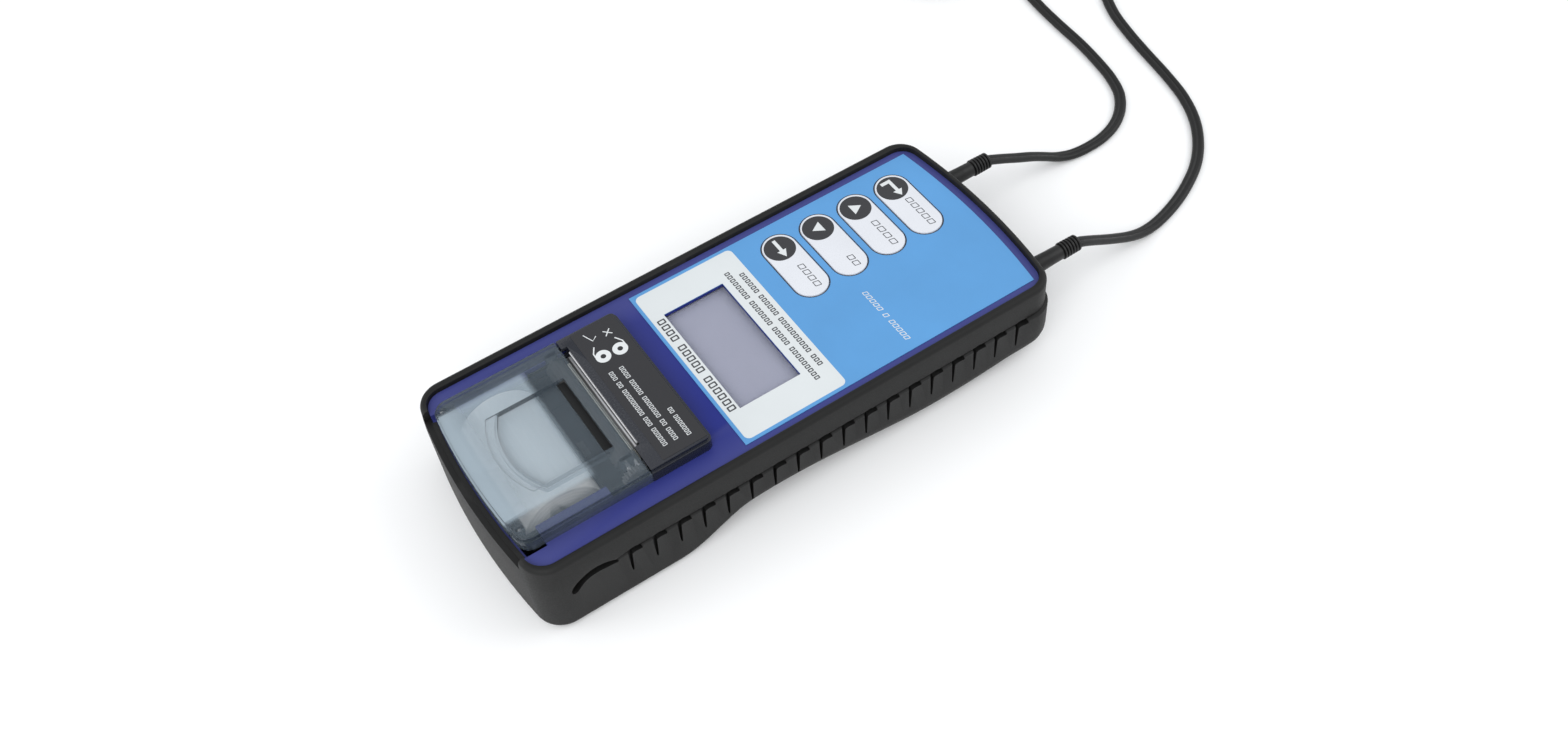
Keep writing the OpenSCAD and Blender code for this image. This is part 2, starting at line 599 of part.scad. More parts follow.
// ---- leads ----
lead_x = [-31.4, 31.4];
lead_z = 26;
relief_r = 4.2;
relief_neck_r = 3.4;
relief_ribs = 6;
relief_rib_pitch = 1.55;
relief_flange = [117.5, 119.3];
relief_ribs_y = 144.9;
relief_end_y = 154;
module strain_reliefs() color([0.1, 0.1, 0.1]) for (x = lead_x)
    translate([x, 0, lead_z]) rotate([90, 0, 0]) {
        translate([0, 0, relief_flange[0]]) cylinder(h = relief_flange[1] - relief_flange[0], r = 5);
        translate([0, 0, relief_flange[0]]) cylinder(h = relief_end_y - relief_flange[0], r = 3);
        translate([0, 0, relief_flange[0]]) cylinder(h = 8, r = relief_neck_r);
        translate([0, 0, 124.8]) cylinder(h = relief_ribs_y - 124.8, r1 = 4.1, r2 = 3.5);
        for (i = [0:relief_ribs - 1]) translate([0, 0, relief_ribs_y + relief_rib_pitch * i])
            cylinder(h = 1, r = 3.85 - 0.03 * i);
    }
// free stretches, from the relief to the coil, as points chosen along the way
red_path = [[31.4, -154.8, 25.3], [31.4, -158.5, 23.6], [31.3, -164, 20.9], [31.1, -172, 16.8],
    [30.9, -180, 12.9], [30.6, -188, 8.4], [29.9, -196, 4], [28.7, -204, 1.9], [28, -213, 1.6],
    [28.8, -223, 1.6], [32, -233, 1.6], [38, -242, 1.6], [47, -249.5, 1.6],
    [58.5, -254, 1.6], [71, -256.5, 1.6], [87, -258.5, 1.6], [105, -259.5, 1.6],
    [123, -261, 1.6], [141, -264, 1.6], [154, -267.4, 1.6], [163.5, -270.6, 1.6]];
black_path = [[-31.4, -154.8, 25.3], [-31.4, -158.5, 23.6], [-31.3, -164, 20.4], [-31.2, -172, 15.6],
    [-31, -180, 11], [-30.7, -188, 6.8], [-30, -196, 3.6], [-28.8, -204, 2], [-27, -212, 1.6],
    [-23.5, -223, 1.6], [-18, -235, 1.6], [-10.5, -247, 1.6], [0, -258, 1.6], [12, -266.5, 1.6],
    [27, -273, 1.6], [44, -277, 1.6], [62, -280, 1.6], [80, -283.5, 1.6], [95, -287.5, 1.6],
    [108, -293.5, 1.6], [115.5, -299.5, 1.6], [119.8, -306, 1.6]];
// each coil: centre, radius at the middle of its turns, heading where the lead leaves it
red_coil_c = [191, -245];
red_coil_r = 31;
red_heading = 60;
black_coil_c = [152, -320];
black_coil_r = 28;
black_heading = 6;
coil_h = 10.4;
coil_half = 3.6;
// cross-section of the flat lead: eight points, width across the run
section = [for (i = [0:7]) [cos(45 * i + 22.5), sin(45 * i + 22.5)] / cos(22.5)];
module lead_tube(path) {
    n = len(path);
    function way(i) = let (d = path[min(n - 1, i + 1)] - path[max(0, i - 1)]) d / norm(d);
    rings = [for (i = [0:n - 1]) let (
        w = way(i), s = cross(w, [0, 0, 1]) / norm(cross(w, [0, 0, 1])), u = cross(s, w))
        for (p = section) path[i] + s * p[0] * lead_w / 2 * 0.95 + u * p[1] * lead_t / 2 * 0.95];
    walls = [for (i = [0:n - 2], k = [0:7]) let (a = i * 8 + k, b = i * 8 + (k + 1) % 8)
        each [[a, b, b + 8], [a, b + 8, a + 8]]];
    polyhedron(rings, concat(walls,
        [[for (k = [7:-1:0]) k]], [[for (k = [0:7]) (n - 1) * 8 + k]]));
}
module coil(c, r) translate([c[0], c[1], 0]) rotate_extrude($fn = 64)
    translate([r - coil_half, 0.1]) square([2 * coil_half, coil_h]);
module red_lead() color([0.12, 0.12, 0.12]) lead_tube(red_path);
module black_lead() color([0.12, 0.12, 0.12]) lead_tube(black_path);
module red_coil() color([0.12, 0.12, 0.12]) coil(red_coil_c, red_coil_r);
module black_coil() color([0.12, 0.12, 0.12]) coil(black_coil_c, black_coil_r);

// ---- clamps, lying on their sides; u runs from tail to jaw tip, v across ----
clamp_t = 17;
pivot_u = 44;
knuckle_r = 5.4;
clamp_pin_r = 1.75;
jaw_u = 60;
tail_v = -12.5;                 // where the lead enters the fixed handle
fixed_knuckle = [6.6, 10.4];
moving_knuckles = [[0.6, 3.2], [13.8, 16.4]];
clamp_low = 0.3;
half_outline = [[0, -16], [12, -16.6], [26, -15], [44, -12.5], [64, -11.5], [78, -8.5],
    [clamp_l, -2.6], [clamp_l, -1.6], [jaw_u, -1.6], [53, -4.5], [44, -6.5], [36, -6], [0, -9]];
// the lead leaves its coil along the heading h and runs straight into the fixed handle
tail_run = 42;
function leave(c, r, h) = c + r * [cos(h - 90), sin(h - 90)];
function on_heading(c, r, h, run) = leave(c, r, h) + run * [cos(h), sin(h)];
function clamp_place(c, r, h) = let (e = on_heading(c, r, h, tail_run))
    [e[0] + tail_v * sin(h), e[1] - tail_v * cos(h), h];
red_clamp_place = clamp_place(red_coil_c, red_coil_r, red_heading);
black_clamp_place = clamp_place(black_coil_c, black_coil_r, black_heading);
module placed(p) translate([p[0], p[1], clamp_low]) rotate([0, 0, p[2]]) children();
module half_body() linear_extrude(clamp_t - clamp_low) polygon(half_outline);
module knuckle(z, side) difference() {
    union() {
        translate([pivot_u, 0, z[0]]) cylinder(h = z[1] - z[0], r = knuckle_r);
        translate([pivot_u - 4, side > 0 ? 0 : -9, z[0]]) cube([8, 9, z[1] - z[0]]);
    }
    translate([pivot_u, 0, z[0] - 1]) cylinder(h = z[1] - z[0] + 2, r = clamp_pin_r + bore_gap);
}
module clamp_fixed() difference() {
    union() {
        difference() {
            half_body();
            translate([pivot_u, 0, -1]) cylinder(h = clamp_t + 2, r = knuckle_r + 0.8);
        }
        knuckle(fixed_knuckle, -1);
    }
    // channel for the lead
    translate([-1, tail_v - 3, 1.5]) cube([13, 6, 3.4]);
}
module clamp_moving() {
    difference() {
        mirror([0, 1, 0]) half_body();
        translate([pivot_u, 0, -1]) cylinder(h = clamp_t + 2, r = knuckle_r + 0.8);
    }
    for (z = moving_knuckles) knuckle(z, 1);
    mirror([0, 1, 0]) jaw_plate();
}
module jaw_plate() {
    translate([jaw_u, -1.6, 3]) cube([clamp_l - jaw_u - 0.5, 0.8, clamp_t - 6]);
    for (i = [0:7]) translate([jaw_u + 1 + 3 * i, -0.8, 3])
        linear_extrude(clamp_t - 6) polygon([[0, 0], [2.4, 0], [1.2, 0.65]]);
}
module clamp_pin() translate([pivot_u, 0, 0.2]) cylinder(h = clamp_t - 0.7, r = clamp_pin_r);
module clamp_spring() for (z = [[3.5, 6.3], [10.7, 13.5]]) difference() {
    union() {
        translate([pivot_u, 0, z[0]]) cylinder(h = z[1] - z[0], r = 4.2);
        translate([pivot_u - 16, -4.2, z[0]]) cube([16, 1, 1]);
    }
    translate([pivot_u, 0, z[0] - 1]) cylinder(h = 6, r = 2.2);
}
module red_clamp_fixed() color([0.8, 0.08, 0.06]) placed(red_clamp_place) clamp_fixed();
module red_clamp_moving() color([0.8, 0.08, 0.06]) placed(red_clamp_place) clamp_moving();
module black_clamp_fixed() color([0.1, 0.1, 0.1]) placed(black_clamp_place) clamp_fixed();
module black_clamp_moving() color([0.1, 0.1, 0.1]) placed(black_clamp_place) clamp_moving();
module both_clamps() for (p = [red_clamp_place, black_clamp_place]) placed(p) children();
module clamp_pins() color("silver") both_clamps() clamp_pin();
module clamp_springs() color("silver") both_clamps() clamp_spring();
module fixed_jaw_plates() color([0.75, 0.45, 0.25]) both_clamps() jaw_plate();

// from the coil's top turn down into the clamp's handle: [run, height]
end_steps = [[21, 5.4], [28, 4.2], [35, 3.6], [tail_run, 3.5], [tail_run + 11, 3.5]];
function end_path(c, r, h) = [for (k = end_steps)
    let (q = on_heading(c, r, h, k[0])) [q[0], q[1], k[1]]];
module red_lead_end() color([0.12, 0.12, 0.12]) lead_tube(end_path(red_coil_c, red_coil_r, red_heading));
module black_lead_end() color([0.12, 0.12, 0.12]) lead_tube(end_path(black_coil_c, black_coil_r, black_heading));

rubber_boot();
front_case();
rear_case();
case_screws();
face_label();
screen_lens();
lcd_frame();
lcd_glass();
key(0);  // key_back
key(1);  // key_up
key(2);  // key_down
key(3);  // key_enter
plunger(0);  // plunger_back
plunger(1);  // plunger_up
plunger(2);  // plunger_down
plunger(3);  // plunger_enter
key_switches();
main_board();
board_screws();
controller_chip();
capacitors();
buzzer();
power_transistors();
heat_sink();
lead_terminals();
lead_wires();
printer_frame();
printer_screws();
printer_bezel();
bezel_label();
printer_door();
hinge_pins();
platen_roller();
platen_shaft();
platen_gear();
idler_gear();
motor_pinion();
stepper_motor();
printhead();
head_springs();
head_ribbon();
tear_bar();
paper_sensor();
paper_roll();
roll_core();
strain_reliefs();
red_lead();
red_coil();
red_lead_end();
red_clamp_fixed();
red_clamp_moving();
black_lead();
black_coil();
black_lead_end();
black_clamp_fixed();
black_clamp_moving();
clamp_pins();
clamp_springs();
fixed_jaw_plates();
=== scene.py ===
import json
import math

import bmesh
import bpy
from mathutils import Matrix, Vector


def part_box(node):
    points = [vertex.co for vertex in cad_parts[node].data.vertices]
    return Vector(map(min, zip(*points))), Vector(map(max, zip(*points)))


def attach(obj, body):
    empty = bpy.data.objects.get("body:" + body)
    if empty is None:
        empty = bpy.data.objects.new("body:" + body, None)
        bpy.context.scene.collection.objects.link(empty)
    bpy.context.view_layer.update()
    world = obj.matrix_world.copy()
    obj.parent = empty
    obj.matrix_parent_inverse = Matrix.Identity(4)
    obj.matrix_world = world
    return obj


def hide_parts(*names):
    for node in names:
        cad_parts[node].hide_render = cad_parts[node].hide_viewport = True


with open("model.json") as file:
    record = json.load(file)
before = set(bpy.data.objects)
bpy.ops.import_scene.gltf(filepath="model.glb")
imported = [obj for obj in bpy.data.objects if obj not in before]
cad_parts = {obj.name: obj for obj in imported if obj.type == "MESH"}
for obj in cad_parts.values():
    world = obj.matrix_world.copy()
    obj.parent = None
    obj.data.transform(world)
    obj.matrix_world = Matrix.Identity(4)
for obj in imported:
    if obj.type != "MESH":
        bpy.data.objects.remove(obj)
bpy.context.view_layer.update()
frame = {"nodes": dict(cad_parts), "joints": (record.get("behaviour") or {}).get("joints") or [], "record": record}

MM = 0.001
NODES = frame["nodes"]
BODY_OF = {n: b for b, ns in frame["record"]["behaviour"]["bodies"].items() for n in ns}
SLOT_OF = {s["node"]: s["material_slot"] for s in frame["record"]["subparts"]}
BOOT_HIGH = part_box("rubber_boot")[1]
CASE_LOW, CASE_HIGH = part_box("front_case")
LABEL_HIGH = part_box("face_label")[1]
FACE_Z = CASE_HIGH.z
# thickness of a printed film, of one on a key or the bezel, and of the ink on that
FILM = 0.04 * MM
THIN_FILM = 0.03 * MM
INK_FILM = 0.02 * MM


# ---------------------------------------------------------------- camera
LENS = 35.39
SENSOR = 36
EYE = (-0.355088, 0.176682, 0.533175)
EYE_RIGHT = Vector((-0.550527, -0.832628, -0.060422))
EYE_UP = Vector((0.642884, -0.469016, 0.605578))


def make_camera():
    data = bpy.data.cameras.new("camera")
    data.lens = LENS
    data.sensor_width = SENSOR
    data.clip_start, data.clip_end = 0.01, 20
    camera = bpy.data.objects.new("camera", data)
    camera.matrix_world = Matrix((EYE_RIGHT, EYE_UP, EYE_RIGHT.cross(EYE_UP))).transposed().to_4x4()
    camera.location = EYE
    bpy.context.scene.collection.objects.link(camera)
    bpy.context.scene.camera = camera


make_camera()


# ---------------------------------------------------------------- outlines, in the plane of the face
def wave(t):
    """Smooth step from 0 to 1 as t goes from 0 to 1."""
    t = min(1.0, max(0.0, t))
    return (1 - math.cos(math.pi * t)) / 2


def arc(centre, radius, start, end, steps):
    """Points on an arc, angles in degrees."""
    turns = [math.radians(start + (end - start) * i / steps) for i in range(steps + 1)]
    return [(centre[0] + radius * math.cos(t), centre[1] + radius * math.sin(t)) for t in turns]


def round_rect(x0, y0, x1, y1, r, steps=6):
    """Returns the outline as a function of how far it is inset."""
    def outline(d=0.0):
        k = max(r - d, 0.02 * MM)
        a, b, c, e = x0 + d + k, y0 + d + k, x1 - d - k, y1 - d - k
        return (arc((c, b), k, 270, 360, steps) + arc((c, e), k, 0, 90, steps)
                + arc((a, e), k, 90, 180, steps) + arc((a, b), k, 180, 270, steps))
    return outline


def capsule(x0, x1, y, w, steps=20):
    """A slot shape with round ends, as a function of its inset."""
    def outline(d=0.0):
        r = w / 2 - d
        return (arc((x1 - w / 2, y), r, -90, 90, steps) + arc((x0 + w / 2, y), r, 90, 270, steps))
    return outline


def disc(x, y, r, steps=40):
    """A circle, as a function of its inset."""
    def outline(d=0.0):
        return arc((x, y), r - d, 0, 360 - 360 / steps, steps - 1)
    return outline


def plan(w, l, r, end_r, d=0.0, sides=1, corner=10, ends=10):
    """Outline with arced ends, as the case and the boot have in plan, inset by d."""
    turn = math.degrees(math.acos((w / 2 - r) / (end_r - r)))
    cx, ey = w / 2 - r, l / 2 - end_r
    cy = ey + (end_r - r) * math.sin(math.radians(turn))
    half = arc((0, -ey), end_r - d, 270, 360 - turn, ends)
    half += arc((cx, -cy), r - d, 360 - turn, 360, corner)[1:]
    half += [(w / 2 - d, -cy + 2 * cy * i / sides) for i in range(1, sides)]
    half += arc((cx, cy), r - d, 0, turn, corner)[:-1]
    half += arc((0, ey), end_r - d, turn, 90, ends)
    return half + [(-x, y) for x, y in half[-2:0:-1]]


# ---------------------------------------------------------------- meshes
def piece(name, mesh, material, body, smooth=35):
    """Puts a mesh into the scene, with its material, riding on its body."""
    obj = bpy.data.objects.new(name, mesh)
    bpy.context.scene.collection.objects.link(obj)
    mesh.materials.clear()
    mesh.materials.append(material)
    if smooth:
        mesh.shade_smooth()
        mesh.set_sharp_from_angle(angle=math.radians(smooth))
    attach(obj, body)
    return obj


def mesh_of(name, verts, faces):
    """A mesh with its faces turned outwards."""
    mesh = bpy.data.meshes.new(name)
    mesh.from_pydata([tuple(v) for v in verts], [], faces)
    bm = bmesh.new()
    bm.from_mesh(mesh)
    bmesh.ops.recalc_face_normals(bm, faces=bm.faces)
    bm.to_mesh(mesh)
    bm.free()
    return mesh


def walls(rings, closed=True):
    """Faces that join rings of the same number of points."""
    n = len(rings[0])
    return [(k * n + i, k * n + (i + 1) % n, (k + 1) * n + (i + 1) % n, (k + 1) * n + i)
            for k in range(len(rings) - 1) for i in range(n if closed else n - 1)]


def loft(rings):
    """Closed solid through the rings, with flat ends."""
    n, m = len(rings[0]), len(rings)
    verts = [p for ring in rings for p in ring]
    ends = [tuple(range(n)), tuple((m - 1) * n + i for i in range(n))]
    return verts, walls(rings) + ends


def join(parts):
    """Several (verts, faces) as one."""
    verts, faces = [], []
    for v, f in parts:
        faces += [tuple(i + len(verts) for i in face) for face in f]
        verts += v
    return verts, faces


def block(outline, z0, z1, top=0.0, low=0.0, steps=4):
    """A slab with rounded upper and lower edges of radius top and low."""
    levels = [(low * (1 - math.sin(t)), z0 + low * (1 - math.cos(t)))
              for t in [math.pi / 2 * i / steps for i in range(steps + 1)]] if low else [(0.0, z0)]
    levels += [(top * (1 - math.cos(t)), z1 - top * (1 - math.sin(t)))
               for t in [math.pi / 2 * i / steps for i in range(steps + 1)]] if top else [(0.0, z1)]
    return loft([[(x, y, z) for x, y in outline(d)] for d, z in levels])


def flat(name, loops, z, material, body, thick=FILM):
    """A printed film or a flat patch of painted shade: closed loops in the plane, a loop inside another being a
    hole.
    """
    curve = bpy.data.curves.new(name, "CURVE")
    curve.dimensions = "2D"
    curve.fill_mode = "BOTH"
    curve.extrude = thick / 2
    for loop in loops:
        spline = curve.splines.new("POLY")
        spline.points.add(len(loop) - 1)
        for point, (x, y) in zip(spline.points, loop):
            point.co = (x, y, 0, 1)
        spline.use_cyclic_u = True
    helper = bpy.data.objects.new(name + "_outline", curve)
    mesh = bpy.data.meshes.new_from_object(helper)
    bpy.data.objects.remove(helper)
    bpy.data.curves.remove(curve)
    mesh.transform(Matrix.Translation((0, 0, z + thick / 2)))
    mesh.name = name
    return piece(name, mesh, material, body, smooth=0)


def turned(profile, start, direction, steps=32):
    """Solid of revolution: profile is (distance along, radius) from start along direction."""
    along = Vector(direction).normalized()
    side = along.orthogonal().normalized()
    other = along.cross(side)
    rings = []
    for s, r in profile:
        centre = Vector(start) + along * s
        rings.append([centre + (side * math.cos(t) + other * math.sin(t)) * r
                      for t in [2 * math.pi * i / steps for i in range(steps)]])
    return loft(rings)


def swept(path, section, level=True):
    """Tube along a path. A level section keeps its first axis horizontal."""
    points = [Vector(p) for p in path]
    ways = [(points[min(i + 1, len(points) - 1)] - points[max(i - 1, 0)]).normalized()
            for i in range(len(points))]
    side = ways[0].orthogonal().normalized()
    rings = []
    for p, way in zip(points, ways):
        if level:
            side = way.cross(Vector((0, 0, 1))).normalized()
        else:
            side = (side - way * side.dot(way)).normalized()
        up = side.cross(way)
        rings.append([p + side * a + up * b for a, b in section])
    return loft(rings)


def round_section(r, sides=10):
    return arc((0, 0), r, 0, 360 - 360 / sides, sides - 1)


def smooth_path(points, step):
    """Centripetal curve through the points, resampled about every step."""
    pts = [Vector(p) for p in points]
    pts = [pts[0] * 2 - pts[1]] + pts + [pts[-1] * 2 - pts[-2]]
    out = []
    for p0, p1, p2, p3 in zip(pts, pts[1:], pts[2:], pts[3:]):
        t0, t1 = 0.0, (p1 - p0).length ** 0.5
        t2 = t1 + (p2 - p1).length ** 0.5
        t3 = t2 + (p3 - p2).length ** 0.5
        count = max(1, round((p2 - p1).length / step))
        for i in range(count):
            t = t1 + (t2 - t1) * i / count
            a1 = p0 * ((t1 - t) / (t1 - t0)) + p1 * ((t - t0) / (t1 - t0))
            a2 = p1 * ((t2 - t) / (t2 - t1)) + p2 * ((t - t1) / (t2 - t1))
            a3 = p2 * ((t3 - t) / (t3 - t2)) + p3 * ((t - t2) / (t3 - t2))
            b1 = a1 * ((t2 - t) / (t2 - t0)) + a2 * ((t - t0) / (t2 - t0))
            b2 = a2 * ((t3 - t) / (t3 - t1)) + a3 * ((t - t1) / (t3 - t1))
            out.append(b1 * ((t2 - t) / (t2 - t1)) + b2 * ((t - t1) / (t2 - t1)))
    return out + [pts[-2]]


def apply_modifiers(obj):
    bpy.context.view_layer.update()
    done = obj.evaluated_get(bpy.context.evaluated_depsgraph_get())
    mesh = bpy.data.meshes.new_from_object(done)
    obj.modifiers.clear()
    obj.data = mesh


def cut(obj, verts, faces):
    """Takes a closed shape away from a piece."""
    tool = bpy.data.objects.new("cutter", mesh_of("cutter", verts, faces))
    bpy.context.scene.collection.objects.link(tool)
    modifier = obj.modifiers.new("cut", "BOOLEAN")
    modifier.operation = "DIFFERENCE"
    modifier.solver = "EXACT"
    modifier.object = tool
    apply_modifiers(obj)
    bpy.data.objects.remove(tool)


def eased(name, node, width, steps=2, angle=40):
    """A copy of a CAD node with its edges rounded, which stands for the node."""
    mesh = NODES[node].data.copy()
    bm = bmesh.new()
    bm.from_mesh(mesh)
    bmesh.ops.remove_doubles(bm, verts=bm.verts, dist=1e-6)
    bmesh.ops.dissolve_limit(bm, angle_limit=math.radians(0.6), verts=bm.verts, edges=bm.edges)
    bm.to_mesh(mesh)
    bm.free()
    if mesh.attributes.get("custom_normal"):
        mesh.attributes.remove(mesh.attributes["custom_normal"])
    obj = piece(name, mesh, LOOKS[SLOT_OF[node]], BODY_OF[node], smooth=30)
    bevel = obj.modifiers.new("eased_edges", "BEVEL")
    bevel.width = width
    bevel.segments = steps
    bevel.limit_method = "ANGLE"
    bevel.angle_limit = math.radians(angle)
    bevel.miter_outer = "MITER_ARC"
    bevel.use_clamp_overlap = True
    bevel.harden_normals = True
    apply_modifiers(obj)
    obj.data.set_sharp_from_angle(angle=math.radians(40))
    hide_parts(node)
    return obj


# ---------------------------------------------------------------- materials
ALONG_X = (0.05, 1, 1)          # stretch that draws a noise out into lines along X


def plain(name, colour, rough, metal=0.0, alpha=1.0, coat=0.0, gloss=0.5):
    """A material of even values, and its shader, which the looks below build on."""
    mat = bpy.data.materials.new(name)
    mat.use_nodes = True
    shader = mat.node_tree.nodes["Principled BSDF"]
    shader.inputs["Base Color"].default_value = (*colour, 1)
    shader.inputs["Roughness"].default_value = rough
    shader.inputs["Metallic"].default_value = metal
    shader.inputs["Alpha"].default_value = alpha
    shader.inputs["Coat Weight"].default_value = coat
    shader.inputs["Specular IOR Level"].default_value = gloss
    return mat, shader


def drive(shader, name, value):
    """Lets a texture's output set one of the shader's inputs."""
    shader.id_data.links.new(value, shader.inputs[name])


def coordinates(mat, stretch=(1, 1, 1), origin=(0, 0, 0)):
    """Places on the piece, in metres from origin, each axis times its stretch."""
    nodes, links = mat.node_tree.nodes, mat.node_tree.links
    source = nodes.new("ShaderNodeTexCoord")
    place = nodes.new("ShaderNodeMapping")
    place.inputs["Location"].default_value = [-o * s for o, s in zip(origin, stretch)]
    place.inputs["Scale"].default_value = stretch
    links.new(source.outputs["Object"], place.inputs["Vector"])
    return place.outputs["Vector"]


def noise(mat, vector, size, detail=4.0, rough=0.55):
    """Noise whose features are about size metres across."""
    node = mat.node_tree.nodes.new("ShaderNodeTexNoise")
    node.inputs["Scale"].default_value = 1 / size
    node.inputs["Detail"].default_value = detail
    node.inputs["Roughness"].default_value = rough
    mat.node_tree.links.new(vector, node.inputs["Vector"])
    return node.outputs["Fac"]


def spread(mat, factor, low, high, start=0.3, end=0.7):
    """Maps a factor onto the range from low to high."""
    node = mat.node_tree.nodes.new("ShaderNodeMapRange")
    for name, value in zip(("From Min", "From Max", "To Min", "To Max"), (start, end, low, high)):
        node.inputs[name].default_value = value
    mat.node_tree.links.new(factor, node.inputs["Value"])
    return node.outputs["Result"]


def blended(mat, factor, a, b):
    """Mixes two colours, each a tuple or a socket."""
    node = mat.node_tree.nodes.new("ShaderNodeMix")
    node.data_type = "RGBA"
    mat.node_tree.links.new(factor, node.inputs["Factor"])
    for socket, value in ((node.inputs[6], a), (node.inputs[7], b)):
        if isinstance(value, tuple):
            socket.default_value = (*value, 1)
        else:
            mat.node_tree.links.new(value, socket)
    return node.outputs[2]


def bump(mat, shader, height, depth):
    node = mat.node_tree.nodes.new("ShaderNodeBump")
    node.inputs["Distance"].default_value = depth
    mat.node_tree.links.new(height, node.inputs["Height"])
    drive(shader, "Normal", node.outputs["Normal"])


def edges(mat):
    """How sharp an outer edge is, from 0 on the flat to 1."""
    return spread(mat, mat.node_tree.nodes.new("ShaderNodeNewGeometry").outputs["Pointiness"],
                  0, 1, 0.51, 0.60)


def scaled(colour, k):
    return tuple(min(1.0, c * k) for c in colour)


def moulded(name, colour, rough, grain=0.4 * MM, depth=0.02 * MM, mottle=0.10, wear=0.25,
            coat=0.0, gloss=0.5):
    """Moulded plastic or rubber: fine texture, faint colour variation and lighter worn edges."""
    mat, shader = plain(name, colour, rough, coat=coat, gloss=gloss)
    vector = coordinates(mat)
    cloudy = noise(mat, vector, 18 * MM)
    tone = blended(mat, spread(mat, cloudy, 0, 1), scaled(colour, 1 - mottle), scaled(colour, 1 + mottle))
    worn = tuple(c + (0.35 - c) * wear for c in colour)
    tone = blended(mat, edges(mat), tone, worn)
    drive(shader, "Base Color", tone)
    fine = noise(mat, vector, grain, 3.0)
    drive(shader, "Roughness", spread(mat, fine, rough - 0.07, rough + 0.07))
    bump(mat, shader, fine, depth)
    return mat


def metal(name, colour, rough, stretch=(1, 1, 1), depth=0.006 * MM):
    """Bare metal with fine drawn or ground lines along one direction."""
    mat, shader = plain(name, colour, rough, metal=1.0)
    lines = noise(mat, coordinates(mat, stretch), 0.8 * MM, 5.0)
    stains = noise(mat, coordinates(mat), 9 * MM)
    tone = blended(mat, spread(mat, stains, 0, 1), scaled(colour, 0.86), scaled(colour, 1.06))
    drive(shader, "Base Color", tone)
    drive(shader, "Roughness", spread(mat, lines, rough - 0.08, rough + 0.10))
    bump(mat, shader, lines, depth)
    return mat


def clear(name, colour, alpha, rough):
    """See-through moulding with faint smears."""
    mat, shader = plain(name, colour, rough, alpha=alpha)
    smears = noise(mat, coordinates(mat), 12 * MM)
    drive(shader, "Roughness", spread(mat, smears, rough, rough + 0.08))
    tone = blended(mat, spread(mat, smears, 0, 1), scaled(colour, 0.92), scaled(colour, 1.08))
    drive(shader, "Base Color", tone)
    return mat


def maths(mat, operation, a, b):
    """One sum on two values, each a number or a socket."""
    node = mat.node_tree.nodes.new("ShaderNodeMath")
    node.operation = operation
    for socket, value in zip(node.inputs, (a, b)):
        if isinstance(value, (int, float)):
            socket.default_value = value
        else:
            mat.node_tree.links.new(value, socket)
    return node.outputs[0]


def parts_of(mat, vector):
    """The X, Y and Z of a vector."""
    node = mat.node_tree.nodes.new("ShaderNodeSeparateXYZ")
    mat.node_tree.links.new(vector, node.inputs[0])
    return node.outputs


def painted_roll_light(mat):
    """Painted light of the lit paper roll seen through the door's top: the share of the door it covers, and how
    dense it is.
    """
    place = parts_of(mat, coordinates(mat))
    low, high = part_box("paper_roll")
    share = maths(mat, "MULTIPLY", spread(mat, place["X"], 0, 1, low.x - 3.5 * MM, low.x - 1.5 * MM),
                  spread(mat, place["X"], 1, 0, high.x - 1 * MM, high.x + 0.5 * MM))
    share = maths(mat, "MULTIPLY", share, spread(mat, place["Y"], 0, 1, low.y + 1.5 * MM, low.y + 4.5 * MM))
    return share, spread(mat, place["Y"], 0.22, 0.42, low.y + 31 * MM, low.y + 38 * MM)


WALL_ALPHA, TOP_ALPHA = 0.66, 0.22


def smoked(name, colour, wall_colour, painted_light_and_smear_colour):
    """Smoked see-through moulding: its upright walls, seen along their depth, are darker and denser. Its top is
    lightened by painted light of the paper roll below, its sharp edges by a painted highlight.
    """
    mat, shader = plain(name, colour, 0.08)
    normal = parts_of(mat, mat.node_tree.nodes.new("ShaderNodeTexCoord").outputs["Normal"])
    level = spread(mat, maths(mat, "ABSOLUTE", normal["Z"], 0), 0, 1, 0.35, 0.75)
    painted_roll_light_share, painted_roll_light_density = painted_roll_light(mat)
    painted_roll_light_share = maths(mat, "MULTIPLY", painted_roll_light_share, level)
    smears = noise(mat, coordinates(mat), 12 * MM)
    tone = blended(mat, level, wall_colour, colour)
    # painted light: the door's top is lightened where the paper roll lies below it
    tone = blended(mat, painted_roll_light_share, tone, painted_light_and_smear_colour)
    tone = blended(mat, spread(mat, smears, 0, 0.10), tone, scaled(painted_light_and_smear_colour, 0.8))
    # painted highlight: the door's sharp edges are lightened towards the pale colour
    tone = blended(mat, maths(mat, "MULTIPLY", edges(mat), 0.15), tone, painted_light_and_smear_colour)
    drive(shader, "Base Color", tone)
    # the painted light of the roll also makes the door denser there
    dense = maths(mat, "ADD", spread(mat, level, WALL_ALPHA, TOP_ALPHA, 0, 1),
                  maths(mat, "MULTIPLY", painted_roll_light_share, painted_roll_light_density))
    drive(shader, "Alpha", dense)
    drive(shader, "Roughness", spread(mat, smears, 0.06, 0.14))
    return mat


